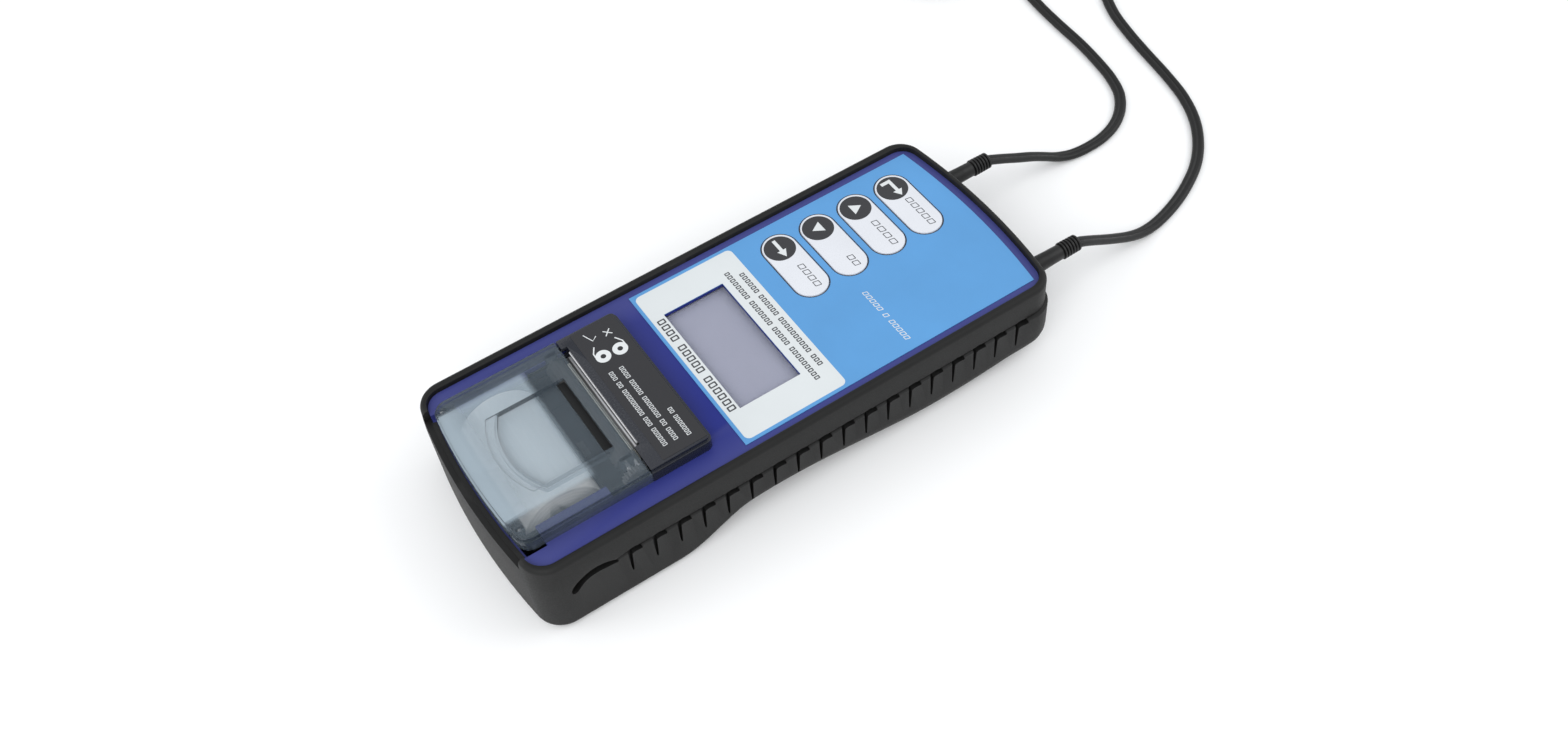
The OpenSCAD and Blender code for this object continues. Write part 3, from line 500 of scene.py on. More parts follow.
def blade_look(name, colour):
    """Ground steel, bright on the teeth and the foot, with painted shade darkening the upright side between them
    and all beyond the first 1.4 mm along Y.
    """
    mat, shader = plain(name, colour, 0.35, metal=0.35)
    vector = coordinates(mat)
    z = parts_of(mat, vector)["Z"]
    low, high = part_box("tear_bar")
    # painted shade on the upright side, between the teeth and the foot
    side = maths(mat, "MULTIPLY", spread(mat, z, 0, 1, low.z + 0.65 * MM, low.z + 0.85 * MM),
                 spread(mat, z, 1, 0, high.z - 1.1 * MM, high.z - 0.9 * MM))
    lines = noise(mat, coordinates(mat, ALONG_X), 0.5 * MM, 5.0)
    tone = blended(mat, spread(mat, lines, 0, 1), scaled(colour, 0.85), colour)
    # painted shade also past the first 1.4 mm along Y
    foot = spread(mat, parts_of(mat, vector)["Y"], 0, 1, low.y + 1.25 * MM, low.y + 1.4 * MM)
    tone = blended(mat, maths(mat, "MAXIMUM", side, foot), tone, scaled(colour, 0.14))
    drive(shader, "Base Color", tone)
    bump(mat, shader, lines, 0.004 * MM)
    return mat


def film(name, colour, rough, tint=0.05):
    """Printed polyester film with a light orange-peel surface."""
    mat, shader = plain(name, colour, rough)
    vector = coordinates(mat)
    tone = blended(mat, spread(mat, noise(mat, vector, 40 * MM), 0, 1),
                   scaled(colour, 1 - tint), scaled(colour, 1 + tint))
    drive(shader, "Base Color", tone)
    peel = noise(mat, vector, 0.7 * MM, 2.0)
    drive(shader, "Roughness", spread(mat, peel, rough - 0.05, rough + 0.05))
    bump(mat, shader, peel, 0.006 * MM)
    return mat


def screen_look(name, colour):
    """The display's polariser with its grid of dots."""
    mat, shader = plain(name, colour, 0.32)
    grid = mat.node_tree.nodes.new("ShaderNodeTexBrick")
    grid.offset = 0
    for key, value in {"Scale": 1.0, "Brick Width": 0.46 * MM, "Row Height": 0.46 * MM,
                       "Mortar Size": 0.035 * MM}.items():
        grid.inputs[key].default_value = value
    grid.inputs["Color1"].default_value = (*colour, 1)
    grid.inputs["Color2"].default_value = (*scaled(colour, 0.985), 1)
    grid.inputs["Mortar"].default_value = (*scaled(colour, 1.10), 1)
    mat.node_tree.links.new(coordinates(mat), grid.inputs["Vector"])
    cloudy = noise(mat, coordinates(mat), 30 * MM, 2.0)
    tone = blended(mat, spread(mat, cloudy, 0, 0.35), grid.outputs["Color"], scaled(colour, 1.12))
    drive(shader, "Base Color", tone)
    return mat


def paper_look(name, colour):
    """Thermal paper: smooth outside, its layers showing as fine rings on the ends."""
    mat, shader = plain(name, colour, 0.42)
    low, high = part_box("paper_roll")
    rings = mat.node_tree.nodes.new("ShaderNodeTexWave")
    rings.wave_type = "RINGS"
    rings.rings_direction = "X"
    rings.inputs["Scale"].default_value = 1 / (6 * MM)
    rings.inputs["Distortion"].default_value = 0.6
    centre = (low + high) / 2
    vector = coordinates(mat, origin=tuple(centre))
    mat.node_tree.links.new(vector, rings.inputs["Vector"])
    tone = blended(mat, rings.outputs["Fac"], scaled(colour, 0.88), colour)
    drive(shader, "Base Color", tone)
    bump(mat, shader, noise(mat, vector, 0.5 * MM), 0.01 * MM)
    return mat


def board_look(name, colour):
    """Green solder mask with copper tracks under it."""
    mat, shader = plain(name, colour, 0.35, coat=0.4)
    tracks = mat.node_tree.nodes.new("ShaderNodeTexBrick")
    for key, value in {"Scale": 1.0, "Brick Width": 7 * MM, "Row Height": 1.6 * MM,
                       "Mortar Size": 0.22 * MM}.items():
        tracks.inputs[key].default_value = value
    tracks.inputs["Color1"].default_value = (*colour, 1)
    tracks.inputs["Color2"].default_value = (*scaled(colour, 0.9), 1)
    tracks.inputs["Mortar"].default_value = (*scaled(colour, 1.7), 1)
    mat.node_tree.links.new(coordinates(mat), tracks.inputs["Vector"])
    drive(shader, "Base Color", tracks.outputs["Color"])
    bump(mat, shader, tracks.outputs["Fac"], 0.03 * MM)
    return mat


LOOKS = {
    "boot_rubber": moulded("boot_rubber", (0.0070, 0.0070, 0.0068), 0.55, 0.5 * MM, 0.03 * MM, 0.14, 0.03,
                           gloss=0.25),
    "case_blue": moulded("case_blue", (0.015, 0.023, 0.190), 0.42, 0.45 * MM, 0.012 * MM, 0.06, 0.10,
                         gloss=0.2),
    "case_dark": moulded("case_dark", (0.010, 0.013, 0.060), 0.50),
    "label_blue": film("label_blue", (0.082, 0.278, 0.570), 0.40),
    "lens_clear": clear("lens_clear", (0.30, 0.31, 0.36), 0.10, 0.06),
    "frame_steel": metal("frame_steel", (0.60, 0.60, 0.60), 0.35, ALONG_X),
    "lcd_grey": screen_look("lcd_grey", (0.320, 0.330, 0.420)),
    "key_white": moulded("key_white", (0.640, 0.655, 0.695), 0.55, 0.5 * MM, 0.008 * MM, 0.02, 0.0),
    "plunger_black": moulded("plunger_black", (0.03, 0.03, 0.03), 0.5),
    "switch_grey": moulded("switch_grey", (0.07, 0.07, 0.08), 0.5),
    "board_green": board_look("board_green", (0.010, 0.140, 0.050)),
    "chip_black": moulded("chip_black", (0.020, 0.020, 0.020), 0.6, 0.3 * MM),
    "capacitor_sleeve": moulded("capacitor_sleeve", (0.02, 0.03, 0.09), 0.3, coat=0.3),
    "screw_steel": metal("screw_steel", (0.62, 0.62, 0.63), 0.28),
    "aluminium_sink": metal("aluminium_sink", (0.72, 0.72, 0.74), 0.4, (1, 0.05, 1)),
    "terminal_green": moulded("terminal_green", (0.02, 0.30, 0.15), 0.45),
    "wire_black": moulded("wire_black", (0.015, 0.015, 0.015), 0.4),
    "printer_black": moulded("printer_black", (0.006, 0.0065, 0.007), 0.6, 0.8 * MM, 0.008 * MM, wear=0.05,
                             gloss=0.15),
    "bezel_smoke": moulded("bezel_smoke", (0.008, 0.010, 0.017), 0.26, 1.2 * MM, 0.001 * MM, 0.1, 0.03,
                           0.15, 0.4),
    "bezel_film": film("bezel_film", (0.014, 0.014, 0.017), 0.52, 0.08),
    # the last colour is painted light: the lit paper roll seen through the door, and the painted highlight on its
    # edges; the smears use it as well
    "door_smoke": smoked("door_smoke", (0.105, 0.135, 0.165), (0.016, 0.023, 0.036),
                         (0.380, 0.460, 0.520)),
    "shaft_steel": metal("shaft_steel", (0.65, 0.65, 0.66), 0.22, ALONG_X),
    "platen_rubber": moulded("platen_rubber", (0.008, 0.008, 0.008), 0.65),
    "gear_acetal": moulded("gear_acetal", (0.020, 0.020, 0.022), 0.42),
    "pinion_brass": metal("pinion_brass", (0.80, 0.58, 0.27), 0.25),
    "motor_steel": metal("motor_steel", (0.50, 0.50, 0.52), 0.35, ALONG_X),
    "head_ceramic": moulded("head_ceramic", (0.62, 0.60, 0.52), 0.25, wear=0.0, coat=0.4),
    "spring_steel": metal("spring_steel", (0.60, 0.60, 0.62), 0.25),
    "ribbon_amber": moulded("ribbon_amber", (0.65, 0.32, 0.05), 0.25, wear=0.0, coat=0.5),
    "tear_steel": blade_look("tear_steel", (0.80, 0.80, 0.82)),
    "paper_white": paper_look("paper_white", (0.88, 0.88, 0.86)),
    "core_card": moulded("core_card", (0.35, 0.25, 0.15), 0.8, 0.3 * MM, 0.05 * MM),
    "lead_black": moulded("lead_black", (0.006, 0.006, 0.006), 0.42, 1.5 * MM, 0.02 * MM, 0.15, 0.03,
                          gloss=0.3),
    "clamp_red": moulded("clamp_red", (0.600, 0.020, 0.015), 0.34, 0.8 * MM, 0.02 * MM, 0.10, 0.10, 0.2),
    "clamp_black": moulded("clamp_black", (0.022, 0.022, 0.022), 0.34, 0.8 * MM, 0.02 * MM, 0.15, 0.08,
                           0.2),
    "jaw_copper": metal("jaw_copper", (0.85, 0.50, 0.30), 0.3, (1, 1, 0.1)),
}
INK_WHITE = film("ink_white", (0.620, 0.640, 0.650), 0.42)
INK_DARK = film("ink_dark", (0.040, 0.042, 0.048), 0.45)
# dark ink of the keys' fields, also used for the painted shade of the gaps round the keys
DARK_INK_AND_GAP_SHADE = film("dark_ink_and_gap_shade", (0.022, 0.022, 0.026), 0.45)
PANEL_WHITE = film("panel_white", (0.610, 0.640, 0.650), 0.42, 0.02)


# ---------------------------------------------------------------- leads
LEAD_W = 5.6 * MM
LEAD_T = 3.0 * MM
LYING_Z = 1.6                   # height of the lead's middle where it lies, in millimetres
TURN_PITCH = 3.22 * MM
ROUTE_STEP = 2.2 * MM
RELIEF_X = 31.4                 # each lead's exit, to the right and left of the middle, in millimetres
RELIEF_Z = 26 * MM
# free stretches, from the relief to the coil, in millimetres
RED_PATH = [(31.4, -154.8, 25.3), (31.4, -158.5, 23.6), (31.3, -164, 20.9), (31.1, -172, 16.8),
            (30.9, -180, 12.9), (30.6, -188, 8.4), (29.9, -196, 4), (28.7, -204, 1.9), (28, -213, 1.6),
            (28.8, -223, 1.6), (32, -233, 1.6), (38, -242, 1.6), (47, -249.5, 1.6),
            (58.5, -254, 1.6), (71, -256.5, 1.6), (87, -258.5, 1.6), (105, -259.5, 1.6),
            (123, -261, 1.6), (141, -264, 1.6), (154, -267.4, 1.6), (163.5, -270.6, 1.6)]
BLACK_PATH = [(-31.4, -154.8, 25.3), (-31.4, -158.5, 23.6), (-31.3, -164, 20.4), (-31.2, -172, 15.6),
              (-31, -180, 11), (-30.7, -188, 6.8), (-30, -196, 3.6), (-28.8, -204, 2), (-27, -212, 1.6),
              (-23.5, -223, 1.6), (-18, -235, 1.6), (-10.5, -247, 1.6), (0, -258, 1.6), (12, -266.5, 1.6),
              (27, -273, 1.6), (44, -277, 1.6), (62, -280, 1.6), (80, -283.5, 1.6), (95, -287.5, 1.6),
              (108, -293.5, 1.6), (115.5, -299.5, 1.6), (119.8, -306, 1.6)]
# each coil: centre, radius, heading where the lead comes in and where it leaves, whole turns
RED_COIL = ((191, -245), 31, 0, 60, 2)
BLACK_COIL = ((152, -320), 28, 270, 366, 2)
# from the coil's top turn down into the clamp's handle: run and height
END_STEPS = [(7, 8), (14, 6.7), (21, 5.4), (28, 4.2), (35, 3.6), (42, 3.5), (53, 3.5)]


def lead_route(start_x, free, coil):
    """The whole way of a lead, from inside its relief, round its coil and into its clamp."""
    (cx, cy), r, into, out, whole = coil
    route = [(start_x, -149, 26), (start_x, -152, 25.9)] + free
    sweep = out - into + 360 * whole
    steps = round(sweep / 10)
    for i in range(steps + 1):
        t = math.radians(into - 90 + sweep * i / steps)
        z = LYING_Z + TURN_PITCH / MM * sweep / 360 * i / steps
        route.append((cx + r * math.cos(t), cy + r * math.sin(t), z))
    leave, way = route[-1], math.radians(out)
    route += [(leave[0] + run * math.cos(way), leave[1] + run * math.sin(way), z)
              for run, z in END_STEPS]
    return smooth_path([Vector(p) * MM for p in route], ROUTE_STEP)


def twin_section():
    """Two round cores side by side with a web between them."""
    r = LEAD_T / 2
    c = LEAD_W / 2 - r
    return arc((c, 0), r, -140, 140, 12) + arc((-c, 0), r, 40, 320, 12)


def make_lead(name, start_x, free, coil, nodes):
    path = lead_route(start_x, free, coil)
    verts, faces = swept(path, twin_section())
    lead = piece(name, mesh_of(name, verts, faces), LOOKS["lead_black"], "housing", smooth=50)
    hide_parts(*nodes)
    return lead, path


red_lead, red_route = make_lead("red_side_lead", RELIEF_X, RED_PATH, RED_COIL,
                                ("red_lead", "red_coil", "red_lead_end"))
black_lead, black_route = make_lead("black_side_lead", -RELIEF_X, BLACK_PATH, BLACK_COIL,
                                    ("black_lead", "black_coil", "black_lead_end"))


# ---------------------------------------------------------------- strain reliefs
RELIEF_RIBS = 6
RIB_FROM, RIB_PITCH = 27.3, 1.55
CORE_R = 3.0


def relief_profile():
    """Collar, taper and ribs, from inside the case to the tip."""
    profile = [(0, 3.0), (0.3, 5.0), (1.8, 5.0), (1.9, 3.4), (7, 3.4), (7.2, 4.1), (8.6, 4.15),
               (9.4, 4.05), (20, 3.6), (26.5, 3.45), (27.0, 3.3)]
    for i in range(RELIEF_RIBS):
        s, r = RIB_FROM + RIB_PITCH * i, 3.95 - 0.03 * i
        profile += [(s - 0.1, CORE_R), (s, r - 0.25), (s + 0.2, r), (s + 0.85, r), (s + 1.05, r - 0.25),
                    (s + 1.15, CORE_R)]
    return [(s * MM, r * MM) for s, r in profile + [(36.45, CORE_R), (36.5, 2.7)]]


def make_reliefs():
    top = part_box("strain_reliefs")[1].y
    parts = [turned(relief_profile(), (x * MM, top, RELIEF_Z), (0, -1, 0))
             for x in (-RELIEF_X, RELIEF_X)]
    verts, faces = join(parts)
    obj = piece("strain_relief_boots", mesh_of("reliefs", verts, faces), LOOKS["lead_black"], "housing")
    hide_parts("strain_reliefs")
    return obj


reliefs = make_reliefs()


# ---------------------------------------------------------------- rubber boot
BOOT_L = 2 * BOOT_HIGH.y
BOOT_W = 108 * MM
BOOT_HALF = BOOT_W / 2
# the underside, in millimetres: where its foot, waist and belly are along it, and how far it rises
FOOT_Y, WAIST_Y, BELLY_Y = 64.5, 28.5, -65.5
TAIL_L = 62
WAIST_RISE, TAIL_RISE = 11, 6
CASE_W = CASE_HIGH.x - CASE_LOW.x
CASE_L = CASE_HIGH.y - CASE_LOW.y
END_R = 300 * MM
BOOT_R = 12 * MM
CASE_R = 8 * MM
# the groove, the slits below it and the hollow between them and the printer end, in millimetres
GROOVE_Z = 28.0
SLITS = 18
SLIT_PITCH = 11.04
SLIT_FIRST = -102.6
SLIT_END_Z = 14.8
SLIT_DEPTH, HOLLOW_DEPTH = 2.2, 2.8
RIM_INSET = 0.6
# the low wall below the door's end, and the lip on it, whose height is in millimetres
RECESS_HALF = 41.5 * MM
RECESS_Y = 110 * MM
RECESS_Z = 37 * MM
LIP_HALF = 40.2 * MM
LIP_FROM_Y = 100 * MM
LIP_LOW, LIP_HIGH = 36.65, 37.25


def underside(y):
    """Height of the boot's underside in millimetres: foot, waist and belly."""
    if y > FOOT_Y:
        return 0.0
    if y > WAIST_Y:
        return WAIST_RISE * wave((FOOT_Y - y) / (FOOT_Y - WAIST_Y))
    if y > BELLY_Y:
        return WAIST_RISE * wave((y - BELLY_Y) / (WAIST_Y - BELLY_Y))
    return TAIL_RISE * ((BELLY_Y - y) / TAIL_L) ** 2


def edge_radius(y):
    """Radius of the boot's lower edge in millimetres: tight at the foot, soft at the belly."""
    return 4.5 + 6 * wave((FOOT_Y - y) / 110)


boot_plans = {}                 # the boot's outline at each inset, worked out once


def boot_ring(inset, height):
    """One ring; inset and height are in millimetres, or functions of the place along the boot."""
    ring = []
    flat_plan = plan(BOOT_W, BOOT_L, BOOT_R, END_R, 0, 56, 12, 12)
    for i, (_, y) in enumerate(flat_plan):
        d = inset(y / MM) if callable(inset) else inset
        z = height(y / MM) if callable(height) else height
        key = round(d, 4)
        if key not in boot_plans:
            boot_plans[key] = plan(BOOT_W, BOOT_L, BOOT_R, END_R, key * MM, 56, 12, 12)
        x, y = boot_plans[key][i]
        ring.append((x, y, z * MM))
    return ring


def across(ring):
    """Strips that close a ring from side to side."""
    n = len(ring)
    strips = []
    for i in range(n // 2):
        quad = (i, i + 1, (n - i - 1) % n, (n - i) % n)
        strips.append(tuple(dict.fromkeys(quad)))
    return strips


def closed_strips(rings):
    """Loft whose two ends are closed by strips, so that they may be curved."""
    n = len(rings[0])
    verts = [p for ring in rings for p in ring]
    caps = across(rings[0]) + [tuple((len(rings) - 1) * n + i for i in f) for f in across(rings[-1])]
    return verts, walls(rings) + caps


def groove_share(y):
    """Share of the groove and of the rim's inset that is left, towards the printer."""
    return 1 - wave((y - 84) / 8)


def swell(y):
    """How far the grip band stands out at the keys end."""
    return 0.8 * wave((-98 - y) / 16)


def boot_rings():
    """From inside the rim over it, down past the groove and the grip band to the underside."""
    top = FACE_Z / MM
    rings = [(4.5, top - 1), (4.5, top + 1.2)]
    rings += arc((3.2, top + 1.2), 1.3, 0, 90, 5) + arc((2.8, top + 0.3), 2.2, 90, 180, 7)
    rings = [boot_ring(d, z) for d, z in rings]
    rings.append(boot_ring(lambda y: RIM_INSET * (0.4 + 0.6 * groove_share(y)), top - 5))
    for deeper, height in ((0, 1.5), (0, 0.75), (0.15, 0.5), (0.75, 0.35), (0.8, -0.05)):
        rings.append(boot_ring(lambda y, k=deeper: (RIM_INSET + k) * groove_share(y), GROOVE_Z + height))
    for out, height in ((0.35, -0.4), (0.1, -0.6), (0, -0.9)):
        rings.append(boot_ring(lambda y, k=out: k * groove_share(y) - swell(y), GROOVE_Z + height))
    for k in range(9):
        t = math.pi / 2 * k / 8
        rings.append(boot_ring(lambda y, t=t: edge_radius(y) * (1 - math.cos(t)) - swell(y),
                               lambda y, t=t: underside(y) + edge_radius(y) * (1 - math.sin(t))))
    return rings


def rounded_outline(points, r, steps=3):
    """Outline with its corners cut round by about r."""
    out = []
    n = len(points)
    for i in range(n):
        a, b, c = Vector(points[i - 1]), Vector(points[i]), Vector(points[(i + 1) % n])
        k = min(r, (a - b).length * 0.45, (c - b).length * 0.45)
        p, q = b + (a - b).normalized() * k, b + (c - b).normalized() * k
        for m in range(steps + 1):
            t = m / steps
            out.append(tuple(p * (1 - t) ** 2 + b * 2 * t * (1 - t) + q * t ** 2))
    return out


# outlines of a slit, from its place in the groove, and of the hollow, as (along, up) in millimetres
SLIT = [(0.5, 0.7), (-2.7, 1.1), (-5.6, 0.3), (-5.8, -1.9), (-2.3, -1.6), (-1.0, -2.1),
        (-0.35, SLIT_END_Z + 0.6 - GROOVE_Z), (0, SLIT_END_Z - GROOVE_Z),
        (0.45, SLIT_END_Z + 0.6 - GROOVE_Z), (0.7, -1.8)]
HOLLOW = [(90, 27.4), (92.4, 29.4), (96, 30.6), (99.4, 31), (103, 30.4), (106.5, 28.8),
          (109.3, 26.8), (110.9, 24.6), (111, 22.6), (110.2, 21.5), (108.6, 21.9), (106.7, 24),
          (104.5, 25.9), (101.5, 27), (98, 27.2), (95.4, 26.8), (92, 26.4), (90, 26.2)]


def side_cutter(outline, side, deep):
    """A hollow in the boot's side, deep millimetres into it, with flanks that widen outwards."""
    centre = Vector((sum(p[0] for p in outline), sum(p[1] for p in outline))) / len(outline)
    rings = []
    for depth, grow in ((-deep, 0.985), (-0.3, 1.0), (0.4, 1.02), (1.6, 1.05)):
        x = side * (BOOT_HALF + depth * MM)
        rings.append([(x, *((centre + (Vector(p) - centre) * grow) * MM)) for p in outline])
    return loft(rings)


def case_space():
    """The room for the case in the boot."""
    grown = 0.2 * MM
    ring = plan(CASE_W + 2 * grown, CASE_L + 2 * grown, CASE_R + grown, END_R, 0, 40, 8, 10)
    return closed_strips([[(x, y, (underside(y / MM) + 2.8) * MM) for x, y in ring],
                          [(x, y, FACE_Z + 10 * MM) for x, y in ring]])


def end_arc(inset):
    """The case's outline at the printer end, as wide as the lip."""
    return [(x, y) for x, y in plan(CASE_W, CASE_L, CASE_R, END_R, inset, 1, 8, 24)
            if y > LIP_FROM_Y and abs(x) < LIP_HALF]


def make_lip():
    ends = end_arc(1.4 * MM) + end_arc(-0.5 * MM)[::-1]
    mesh = mesh_of("lip", *loft([[(x, y, z * MM) for x, y in ends] for z in (LIP_LOW, LIP_HIGH)]))
    lip = piece("boot_low_lip", mesh, LOOKS["boot_rubber"], "housing")


def make_boot():
    verts, faces = closed_strips(boot_rings())
    boot = piece("rubber_boot_skin", mesh_of("boot", verts, faces), LOOKS["boot_rubber"], "housing")
    cut(boot, *case_space())
    low_wall = block(round_rect(-RECESS_HALF, RECESS_Y, RECESS_HALF, 140 * MM, 0.5 * MM), RECESS_Z, 60 * MM)
    holes = [turned([(0, 4.2 * MM), (20 * MM, 4.2 * MM)], (x * MM, -115 * MM, RELIEF_Z), (0, -1, 0))
             for x in (-RELIEF_X, RELIEF_X)]
    slit = rounded_outline(SLIT, 0.5)
    hollow = rounded_outline(HOLLOW, 1.5)
    hollows = [side_cutter([(SLIT_FIRST + SLIT_PITCH * i + y, GROOVE_Z + z) for y, z in slit],
                           side, SLIT_DEPTH)
               for side in (-1, 1) for i in range(SLITS)]
    hollows += [side_cutter(hollow, side, HOLLOW_DEPTH) for side in (-1, 1)]
    cut(boot, *join([low_wall] + holes + hollows))
    boot.data.shade_smooth()
    boot.data.set_sharp_from_angle(angle=math.radians(38))
    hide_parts("rubber_boot")
    make_lip()


make_boot()


# ---------------------------------------------------------------- face: panel and printed marks
def bar(x0, y0, x1, y1, r=0.12 * MM):
    """Outline of a small rectangle, given by any two opposite corners."""
    return round_rect(min(x0, x1), min(y0, y1), max(x0, x1), max(y0, y1), r, 2)()


def sign_box(x, y, width, height, stroke, slant):
    """A hollow box as tall as a character, leaning to the right."""
    loops = [bar(x, y, x + width, y + height, height * 0.1),
             bar(x + stroke, y + stroke, x + width - stroke, y + height - stroke, height * 0.06)]
    return [[(px + slant * (py - y), py) for px, py in loop] for loop in loops]


BOX_SHARE = 0.74                # of a box's own place along the line
GAP_SHARE = 0.7                 # between words


def boxes(x0, x1, y, height, words, stroke, slant=0.0):
    """A printed line that says nothing: hollow boxes in words of the lengths given, from x0 to x1."""
    share = (x1 - x0) / (sum(words) + GAP_SHARE * (len(words) - 1))
    loops, at = [], x0
    for word in words:
        for _ in range(word):
            loops += sign_box(at, y, share * BOX_SHARE, height, stroke, slant)
            at += share
        at += GAP_SHARE * share
    return loops


KINDS = ("back", "up", "down", "enter")
KEY_FLANGE = 0.9 * MM           # how far a key's flange reaches past its hole
KEY_GAP = 0.3 * MM
PANEL_HALF = 44.4 * MM
PANEL_LOW = -23.5 * MM
WINDOW_LAP = 0.8 * MM           # how far the panel covers the display's edge
# lines of marks on the panel, in millimetres: from, to, y, height, lengths of the words, stroke
PANEL_MARKS = {
    "title_marks": (-29, 29, 19.2, 3.5, (6, 5, 4), 0.62),
    "line_marks_upper": (-35.9, 34.2, -16.2, 2.3, (9, 5, 7, 8), 0.46),
    "line_marks_lower": (-30.6, 30.2, -21.2, 2.3, (3, 10, 6, 6), 0.46),
}


def key_hole():
    """Where the keys' holes in the face lie across it, and how wide they are."""
    low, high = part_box("key_back")
    return low.x + KEY_FLANGE, high.x - KEY_FLANGE, high.y - low.y - 2 * KEY_FLANGE


KEY_HOLE = key_hole()


def make_face():
    panel_high = LABEL_HIGH.y - 0.2 * MM - 1.3 * MM
    outer = round_rect(-PANEL_HALF, PANEL_LOW, PANEL_HALF, panel_high, 2.5 * MM)()
    low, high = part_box("lcd_glass")
    window = round_rect(low.x + WINDOW_LAP, low.y + WINDOW_LAP, high.x - WINDOW_LAP, high.y - WINDOW_LAP,
                        0.3 * MM)()
    top = LABEL_HIGH.z
    flat("white_panel", [outer, window[::-1]], top, PANEL_WHITE, "housing")
    for name, (x0, x1, y, height, words, stroke) in PANEL_MARKS.items():
        flat(name, boxes(x0 * MM, x1 * MM, y * MM, height * MM, words, stroke * MM), top + FILM,
             INK_DARK, "housing")
    flat("type_marks", boxes(-41 * MM, -9.5 * MM, -57.3 * MM, 2.3 * MM, (5, 1, 5), 0.32 * MM, 0.3), top,
         INK_WHITE, "housing")
    x0, x1, w = KEY_HOLE
    for kind in KINDS:
        low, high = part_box("key_" + kind)
        hole = capsule(x0, x1, (low.y + high.y) / 2, w)
        # a thin dark ring round each key's hole: painted shade of the gap round the key
        flat("outline_" + kind, [hole(-0.35 * MM), hole(-0.02 * MM)], top, DARK_INK_AND_GAP_SHADE, "housing")


make_face()


# ---------------------------------------------------------------- keys
KEY_STEM_X = 32.4 * MM
FIELD_X = 31.2 * MM
FIELD_R = 7.0 * MM
FLANGE_TOP = FACE_Z - 2.35 * MM
FLANGE_LOW = FACE_Z - 3.4 * MM
# signs on the keys, from the middle of the field, in millimetres
SIGNS = {
    "back": [(5.3, 0.8), (-1.4, 0.8), (-1.4, 2.2), (-5.5, 0), (-1.4, -2.2), (-1.4, -0.8), (5.3, -0.8)],
    "up": [(0, 2.9), (-3.1, -2.0), (3.1, -2.0)],
    "down": [(0, -2.9), (3.1, 2.0), (-3.1, 2.0)],
    "enter": [(3.4, 3.1), (3.4, -0.4), (-2.1, -0.4), (-2.1, 1.1), (-5.7, -1.2), (-2.1, -3.5), (-2.1, -2.0),
              (5.2, -2.0), (5.2, 3.1)],
}
# marks beside the signs: from, to in millimetres, and how many boxes
LEGENDS = {"back": (3.8, 19.2, 4), "up": (3.4, 11.0, 2), "down": (3.8, 21.2, 4), "enter": (3.6, 23.2, 5)}


def make_key(kind):
    node, body = "key_" + kind, kind + "_key"
    low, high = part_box(node)
    y = (low.y + high.y) / 2
    x0, x1, w = KEY_HOLE
    cap = block(capsule(x0 + KEY_GAP, x1 - KEY_GAP, y, w - 2 * KEY_GAP), FLANGE_TOP - 1.0 * MM, high.z,
                top=0.5 * MM)
    flange = block(capsule(low.x, high.x, y, high.y - low.y), FLANGE_LOW, FLANGE_TOP, low=0.2 * MM)
    stem = turned([(0, 1.2 * MM), (0.3 * MM, 1.5 * MM), (FACE_Z - 3.3 * MM - low.z, 1.5 * MM)],
                  (KEY_STEM_X, y, low.z), (0, 0, 1))
    verts, faces = join([cap, flange, stem])
    key = piece("cap_" + kind, mesh_of(node, verts, faces), LOOKS["key_white"], body)
    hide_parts(node)
    field_y = y + 0.25 * MM
    flat("field_" + kind, [disc(FIELD_X, field_y, FIELD_R)()], high.z, DARK_INK_AND_GAP_SHADE, body, THIN_FILM)
    sign = [(FIELD_X + a * MM, field_y + b * MM) for a, b in SIGNS[kind]]
    flat("sign_" + kind, [sign], high.z + THIN_FILM, INK_WHITE, body, INK_FILM)
    left, right, count = LEGENDS[kind]
    flat("legend_" + kind, boxes(left * MM, right * MM, y - 3.1 * MM, 2.9 * MM, (count,), 0.34 * MM, 0.2),
         high.z, INK_DARK, body, THIN_FILM)


for kind in KINDS:
    make_key(kind)


# ---------------------------------------------------------------- printer
def band(points, width):
    """Outline of an open line of even width."""
    left, right = [], []
    for i, p in enumerate(points):
        a, b = Vector(points[max(i - 1, 0)]), Vector(points[min(i + 1, len(points) - 1)])
        way = (b - a).normalized()
        side = Vector((-way.y, way.x)) * width / 2
        left.append(tuple(Vector(p) + side))
        right.append(tuple(Vector(p) - side))
    return left + right[::-1]


# signs on the bezel, in millimetres: the two rolls and which way their paper bends, the cross's middle,
# and the lines of the note: from, to, y, lengths of the words
ROLL_SIGNS = ((20.2, 51.4, 1), (19.7, 43.8, -1))
CROSS_Y = 43.9
NOTE_LINES = ((-32.2, 11.8, 52.2, (6, 3, 9, 2, 3)), (-32.2, 11.8, 47.4, (4, 2, 7, 5, 4)),
              (-33.2, -17.2, 42.0, (7, 2)))


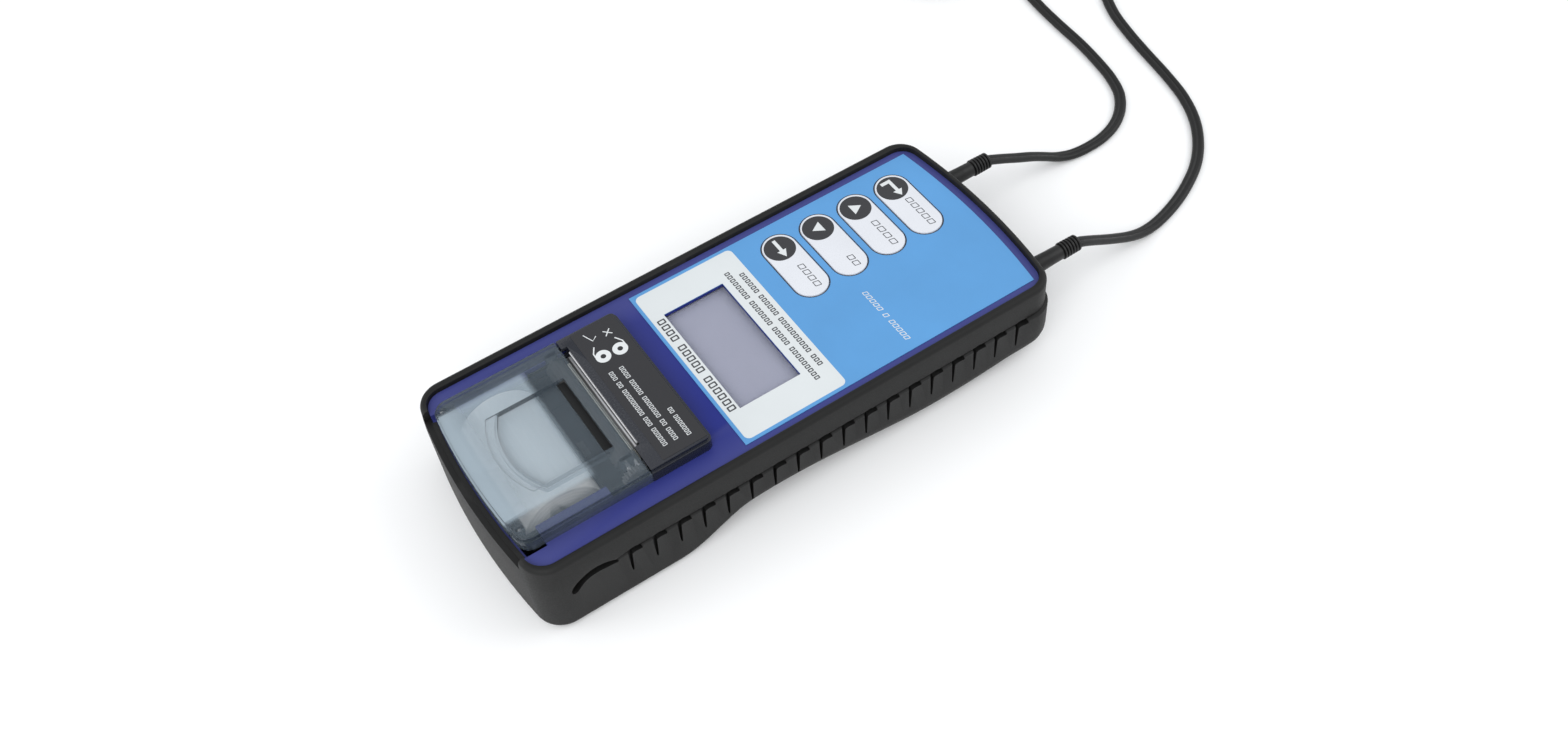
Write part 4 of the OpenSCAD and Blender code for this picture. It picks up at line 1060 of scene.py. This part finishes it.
def bezel_marks():
    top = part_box("bezel_label")[1].z
    rolls, tails = [], []
    for x, y, bend in ROLL_SIGNS:
        rolls += [disc(x * MM, y * MM, 3.25 * MM)(), disc(x * MM, y * MM, 1.15 * MM)()[::-1]]
        tails.append(band([((x + 0.4) * MM, (y + 2.9 * bend) * MM), ((x + 3.2) * MM, (y + 2.8 * bend) * MM),
                           ((x + 6.3) * MM, (y + 0.9 * bend) * MM)], 0.55 * MM))
    flat("roll_signs", rolls, top, INK_WHITE, "housing", THIN_FILM)
    flat("roll_tails", tails, top + THIN_FILM, INK_WHITE, "housing", INK_FILM)
    tick = band([(34.6 * MM, 53.0 * MM), (29.6 * MM, 51.0 * MM), (31.2 * MM, 48.8 * MM)], 0.42 * MM)
    flat("tick", [tick], top, INK_WHITE, "housing", THIN_FILM)
    for n, k in (("a", 1), ("b", -1)):
        arm = band([(28.6 * MM, (CROSS_Y - 1.5 * k) * MM), (31.6 * MM, (CROSS_Y + 1.5 * k) * MM)], 0.45 * MM)
        flat("cross_" + n, [arm], top + (INK_FILM if k > 0 else 0), INK_WHITE, "housing", INK_FILM)
    for n, (x0, x1, y, words) in enumerate(NOTE_LINES):
        flat("note_marks_%d" % n, boxes(x0 * MM, x1 * MM, y * MM, 1.9 * MM, words, 0.27 * MM), top,
             INK_WHITE, "housing", THIN_FILM)


SLOT_HALF = 20.4 * MM
SLOT_Y0, SLOT_Y1 = 69.95 * MM, 73.25 * MM
SLOT_Z0, SLOT_Z1 = 44.1 * MM, 44.6 * MM


def make_printer():
    eased("bezel_cover", "printer_bezel", 0.7 * MM, 3)
    eased("door_moulding", "printer_door", 0.35 * MM, 3)
    eased("paper_roll_wound", "paper_roll", 0.4 * MM, 2)
    eased("platen_sleeve", "platen_roller", 0.3 * MM, 2)
    eased("tear_blade", "tear_bar", 0.08 * MM, 1)
    # a black strip on the floor of the door's finger slot: painted shade that keeps the slot black
    strip = block(round_rect(-SLOT_HALF, SLOT_Y0, SLOT_HALF, SLOT_Y1, 0.4 * MM), SLOT_Z0, SLOT_Z1, 0.2 * MM)
    painted_shade_strip = piece("slot_painted_shade_strip", mesh_of("strip", *strip), LOOKS["printer_black"], "door")
    bezel_marks()


make_printer()


# ---------------------------------------------------------------- clamps
PIVOT_U = 44 * MM               # from the clamp's tail to its pin
CLAMP_LOW = 0.3 * MM
RED_HEADING, BLACK_HEADING = 60, 6


def clamp_place(joint_name, heading):
    """Where a clamp lies: its tail, on a heading in degrees, with its pin on the joint."""
    pivot = next(Vector(j["pos_m"]) for j in frame["joints"] if j["name"] == joint_name)
    turn = Matrix.Rotation(math.radians(heading), 4, "Z")
    start = Vector((pivot.x, pivot.y, CLAMP_LOW)) - turn @ Vector((PIVOT_U, 0, 0))
    return Matrix.Translation(start) @ turn


def placed(part, place):
    verts, faces = part
    return [place @ Vector(v) for v in verts], faces


def grip_ribs(side):
    """Ribs across a handle's back, where fingers hold it."""
    ribs = []
    for i in range(8):
        run = 6 + 3.4 * i
        u, v = run * MM, side * (16.2 - 0.035 * run) * MM
        ribs.append(block(round_rect(u - 0.8 * MM, v - 0.9 * MM, u + 0.8 * MM, v + 0.9 * MM, 0.75 * MM, 4),
                          2.5 * MM, 14.5 * MM, 0.6 * MM, 0.6 * MM))
    return join(ribs)


def torsion_spring():
    """Two coils on the pin, with a leg each along the fixed handle."""
    parts = []
    turns, r, wire = 2.5, 3.1 * MM, 0.5 * MM
    steps = round(turns * 16)
    for z0 in (3.6 * MM, 10.8 * MM):
        way = [Vector((PIVOT_U - run, -r, z0 + wire)) for run in (16 * MM, 8 * MM)]
        for i in range(steps + 1):
            t = math.radians(-90 + 360 * turns * i / steps)
            way.append(Vector((PIVOT_U + r * math.cos(t), r * math.sin(t),
                               z0 + wire + 1.6 * MM * i / steps)))
        parts.append(swept(way, round_section(wire, 8), level=False))
    return join(parts)


def make_clamp(colour, heading):
    place = clamp_place(colour + "_jaw_hinge", heading)
    pieces = []
    for half, side in (("fixed", -1), ("moving", 1)):
        node = "%s_clamp_%s" % (colour, half)
        shell = eased("%s_%s_half" % (colour, half), node, 1.1 * MM, 3)
        ribs = placed(grip_ribs(side), place)
        grip = piece("%s_%s_ribs" % (colour, half), mesh_of("ribs", *ribs), LOOKS["clamp_" + colour],
                     BODY_OF[node])
        pieces += [shell, grip]
    return pieces, place


def make_clamps():
    red_pieces, red_place = make_clamp("red", RED_HEADING)
    black_pieces, black_place = make_clamp("black", BLACK_HEADING)
    springs = join([placed(torsion_spring(), p) for p in (red_place, black_place)])
    coils = piece("clamp_torsion_springs", mesh_of("springs", *springs), LOOKS["spring_steel"], "housing",
                  smooth=60)
    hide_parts("clamp_springs")
    return red_pieces, black_pieces, coils


red_clamp, black_clamp, spring_piece = make_clamps()


# ---------------------------------------------------------------- what stays as the CAD has it
def dress_nodes():
    """The look of each CAD node that no piece stands for."""
    for name, obj in NODES.items():
        if obj.hide_render:
            continue
        obj.data.materials.clear()
        obj.data.materials.append(LOOKS[SLOT_OF[name]])


dress_nodes()


# ---------------------------------------------------------------- floor, lights, sky
REACH = 4                       # half of the floor's side
SKY = (0.96, 0.98, 1.0, 1)
# name: place, size and power
LAMPS = {
    "key_light": ((-0.75, 0.75, 1.05), 1.0, 9.0),
    "fill_light": ((-0.35, -1.05, 0.95), 1.0, 5.0),
    "back_light": ((0.55, 1.15, 0.75), 0.7, 3.0),
}


def make_studio():
    floor_mesh = mesh_of("floor", [(-REACH, -REACH, 0), (REACH, -REACH, 0), (REACH, REACH, 0),
                                   (-REACH, REACH, 0)], [(0, 1, 2, 3)])
    floor = bpy.data.objects.new("floor", floor_mesh)
    floor.location.z = -0.02 * MM
    bpy.context.scene.collection.objects.link(floor)
    floor_look, _ = plain("floor_look", (0.90, 0.90, 0.90), 0.9, gloss=0.1)
    floor_mesh.materials.append(floor_look)
    world = bpy.data.worlds.new("sky")
    world.use_nodes = True
    world.node_tree.nodes["Background"].inputs["Color"].default_value = SKY
    world.node_tree.nodes["Background"].inputs["Strength"].default_value = 0.85
    bpy.context.scene.world = world
    for name, (place, size, power) in LAMPS.items():
        light = bpy.data.lights.new(name, "AREA")
        light.size = size
        light.energy = power
        lamp = bpy.data.objects.new(name, light)
        lamp.location = place
        lamp.rotation_euler = (-Vector(place)).to_track_quat("-Z", "Y").to_euler()
        bpy.context.scene.collection.objects.link(lamp)
    bpy.context.scene.view_settings.view_transform = "Standard"


make_studio()
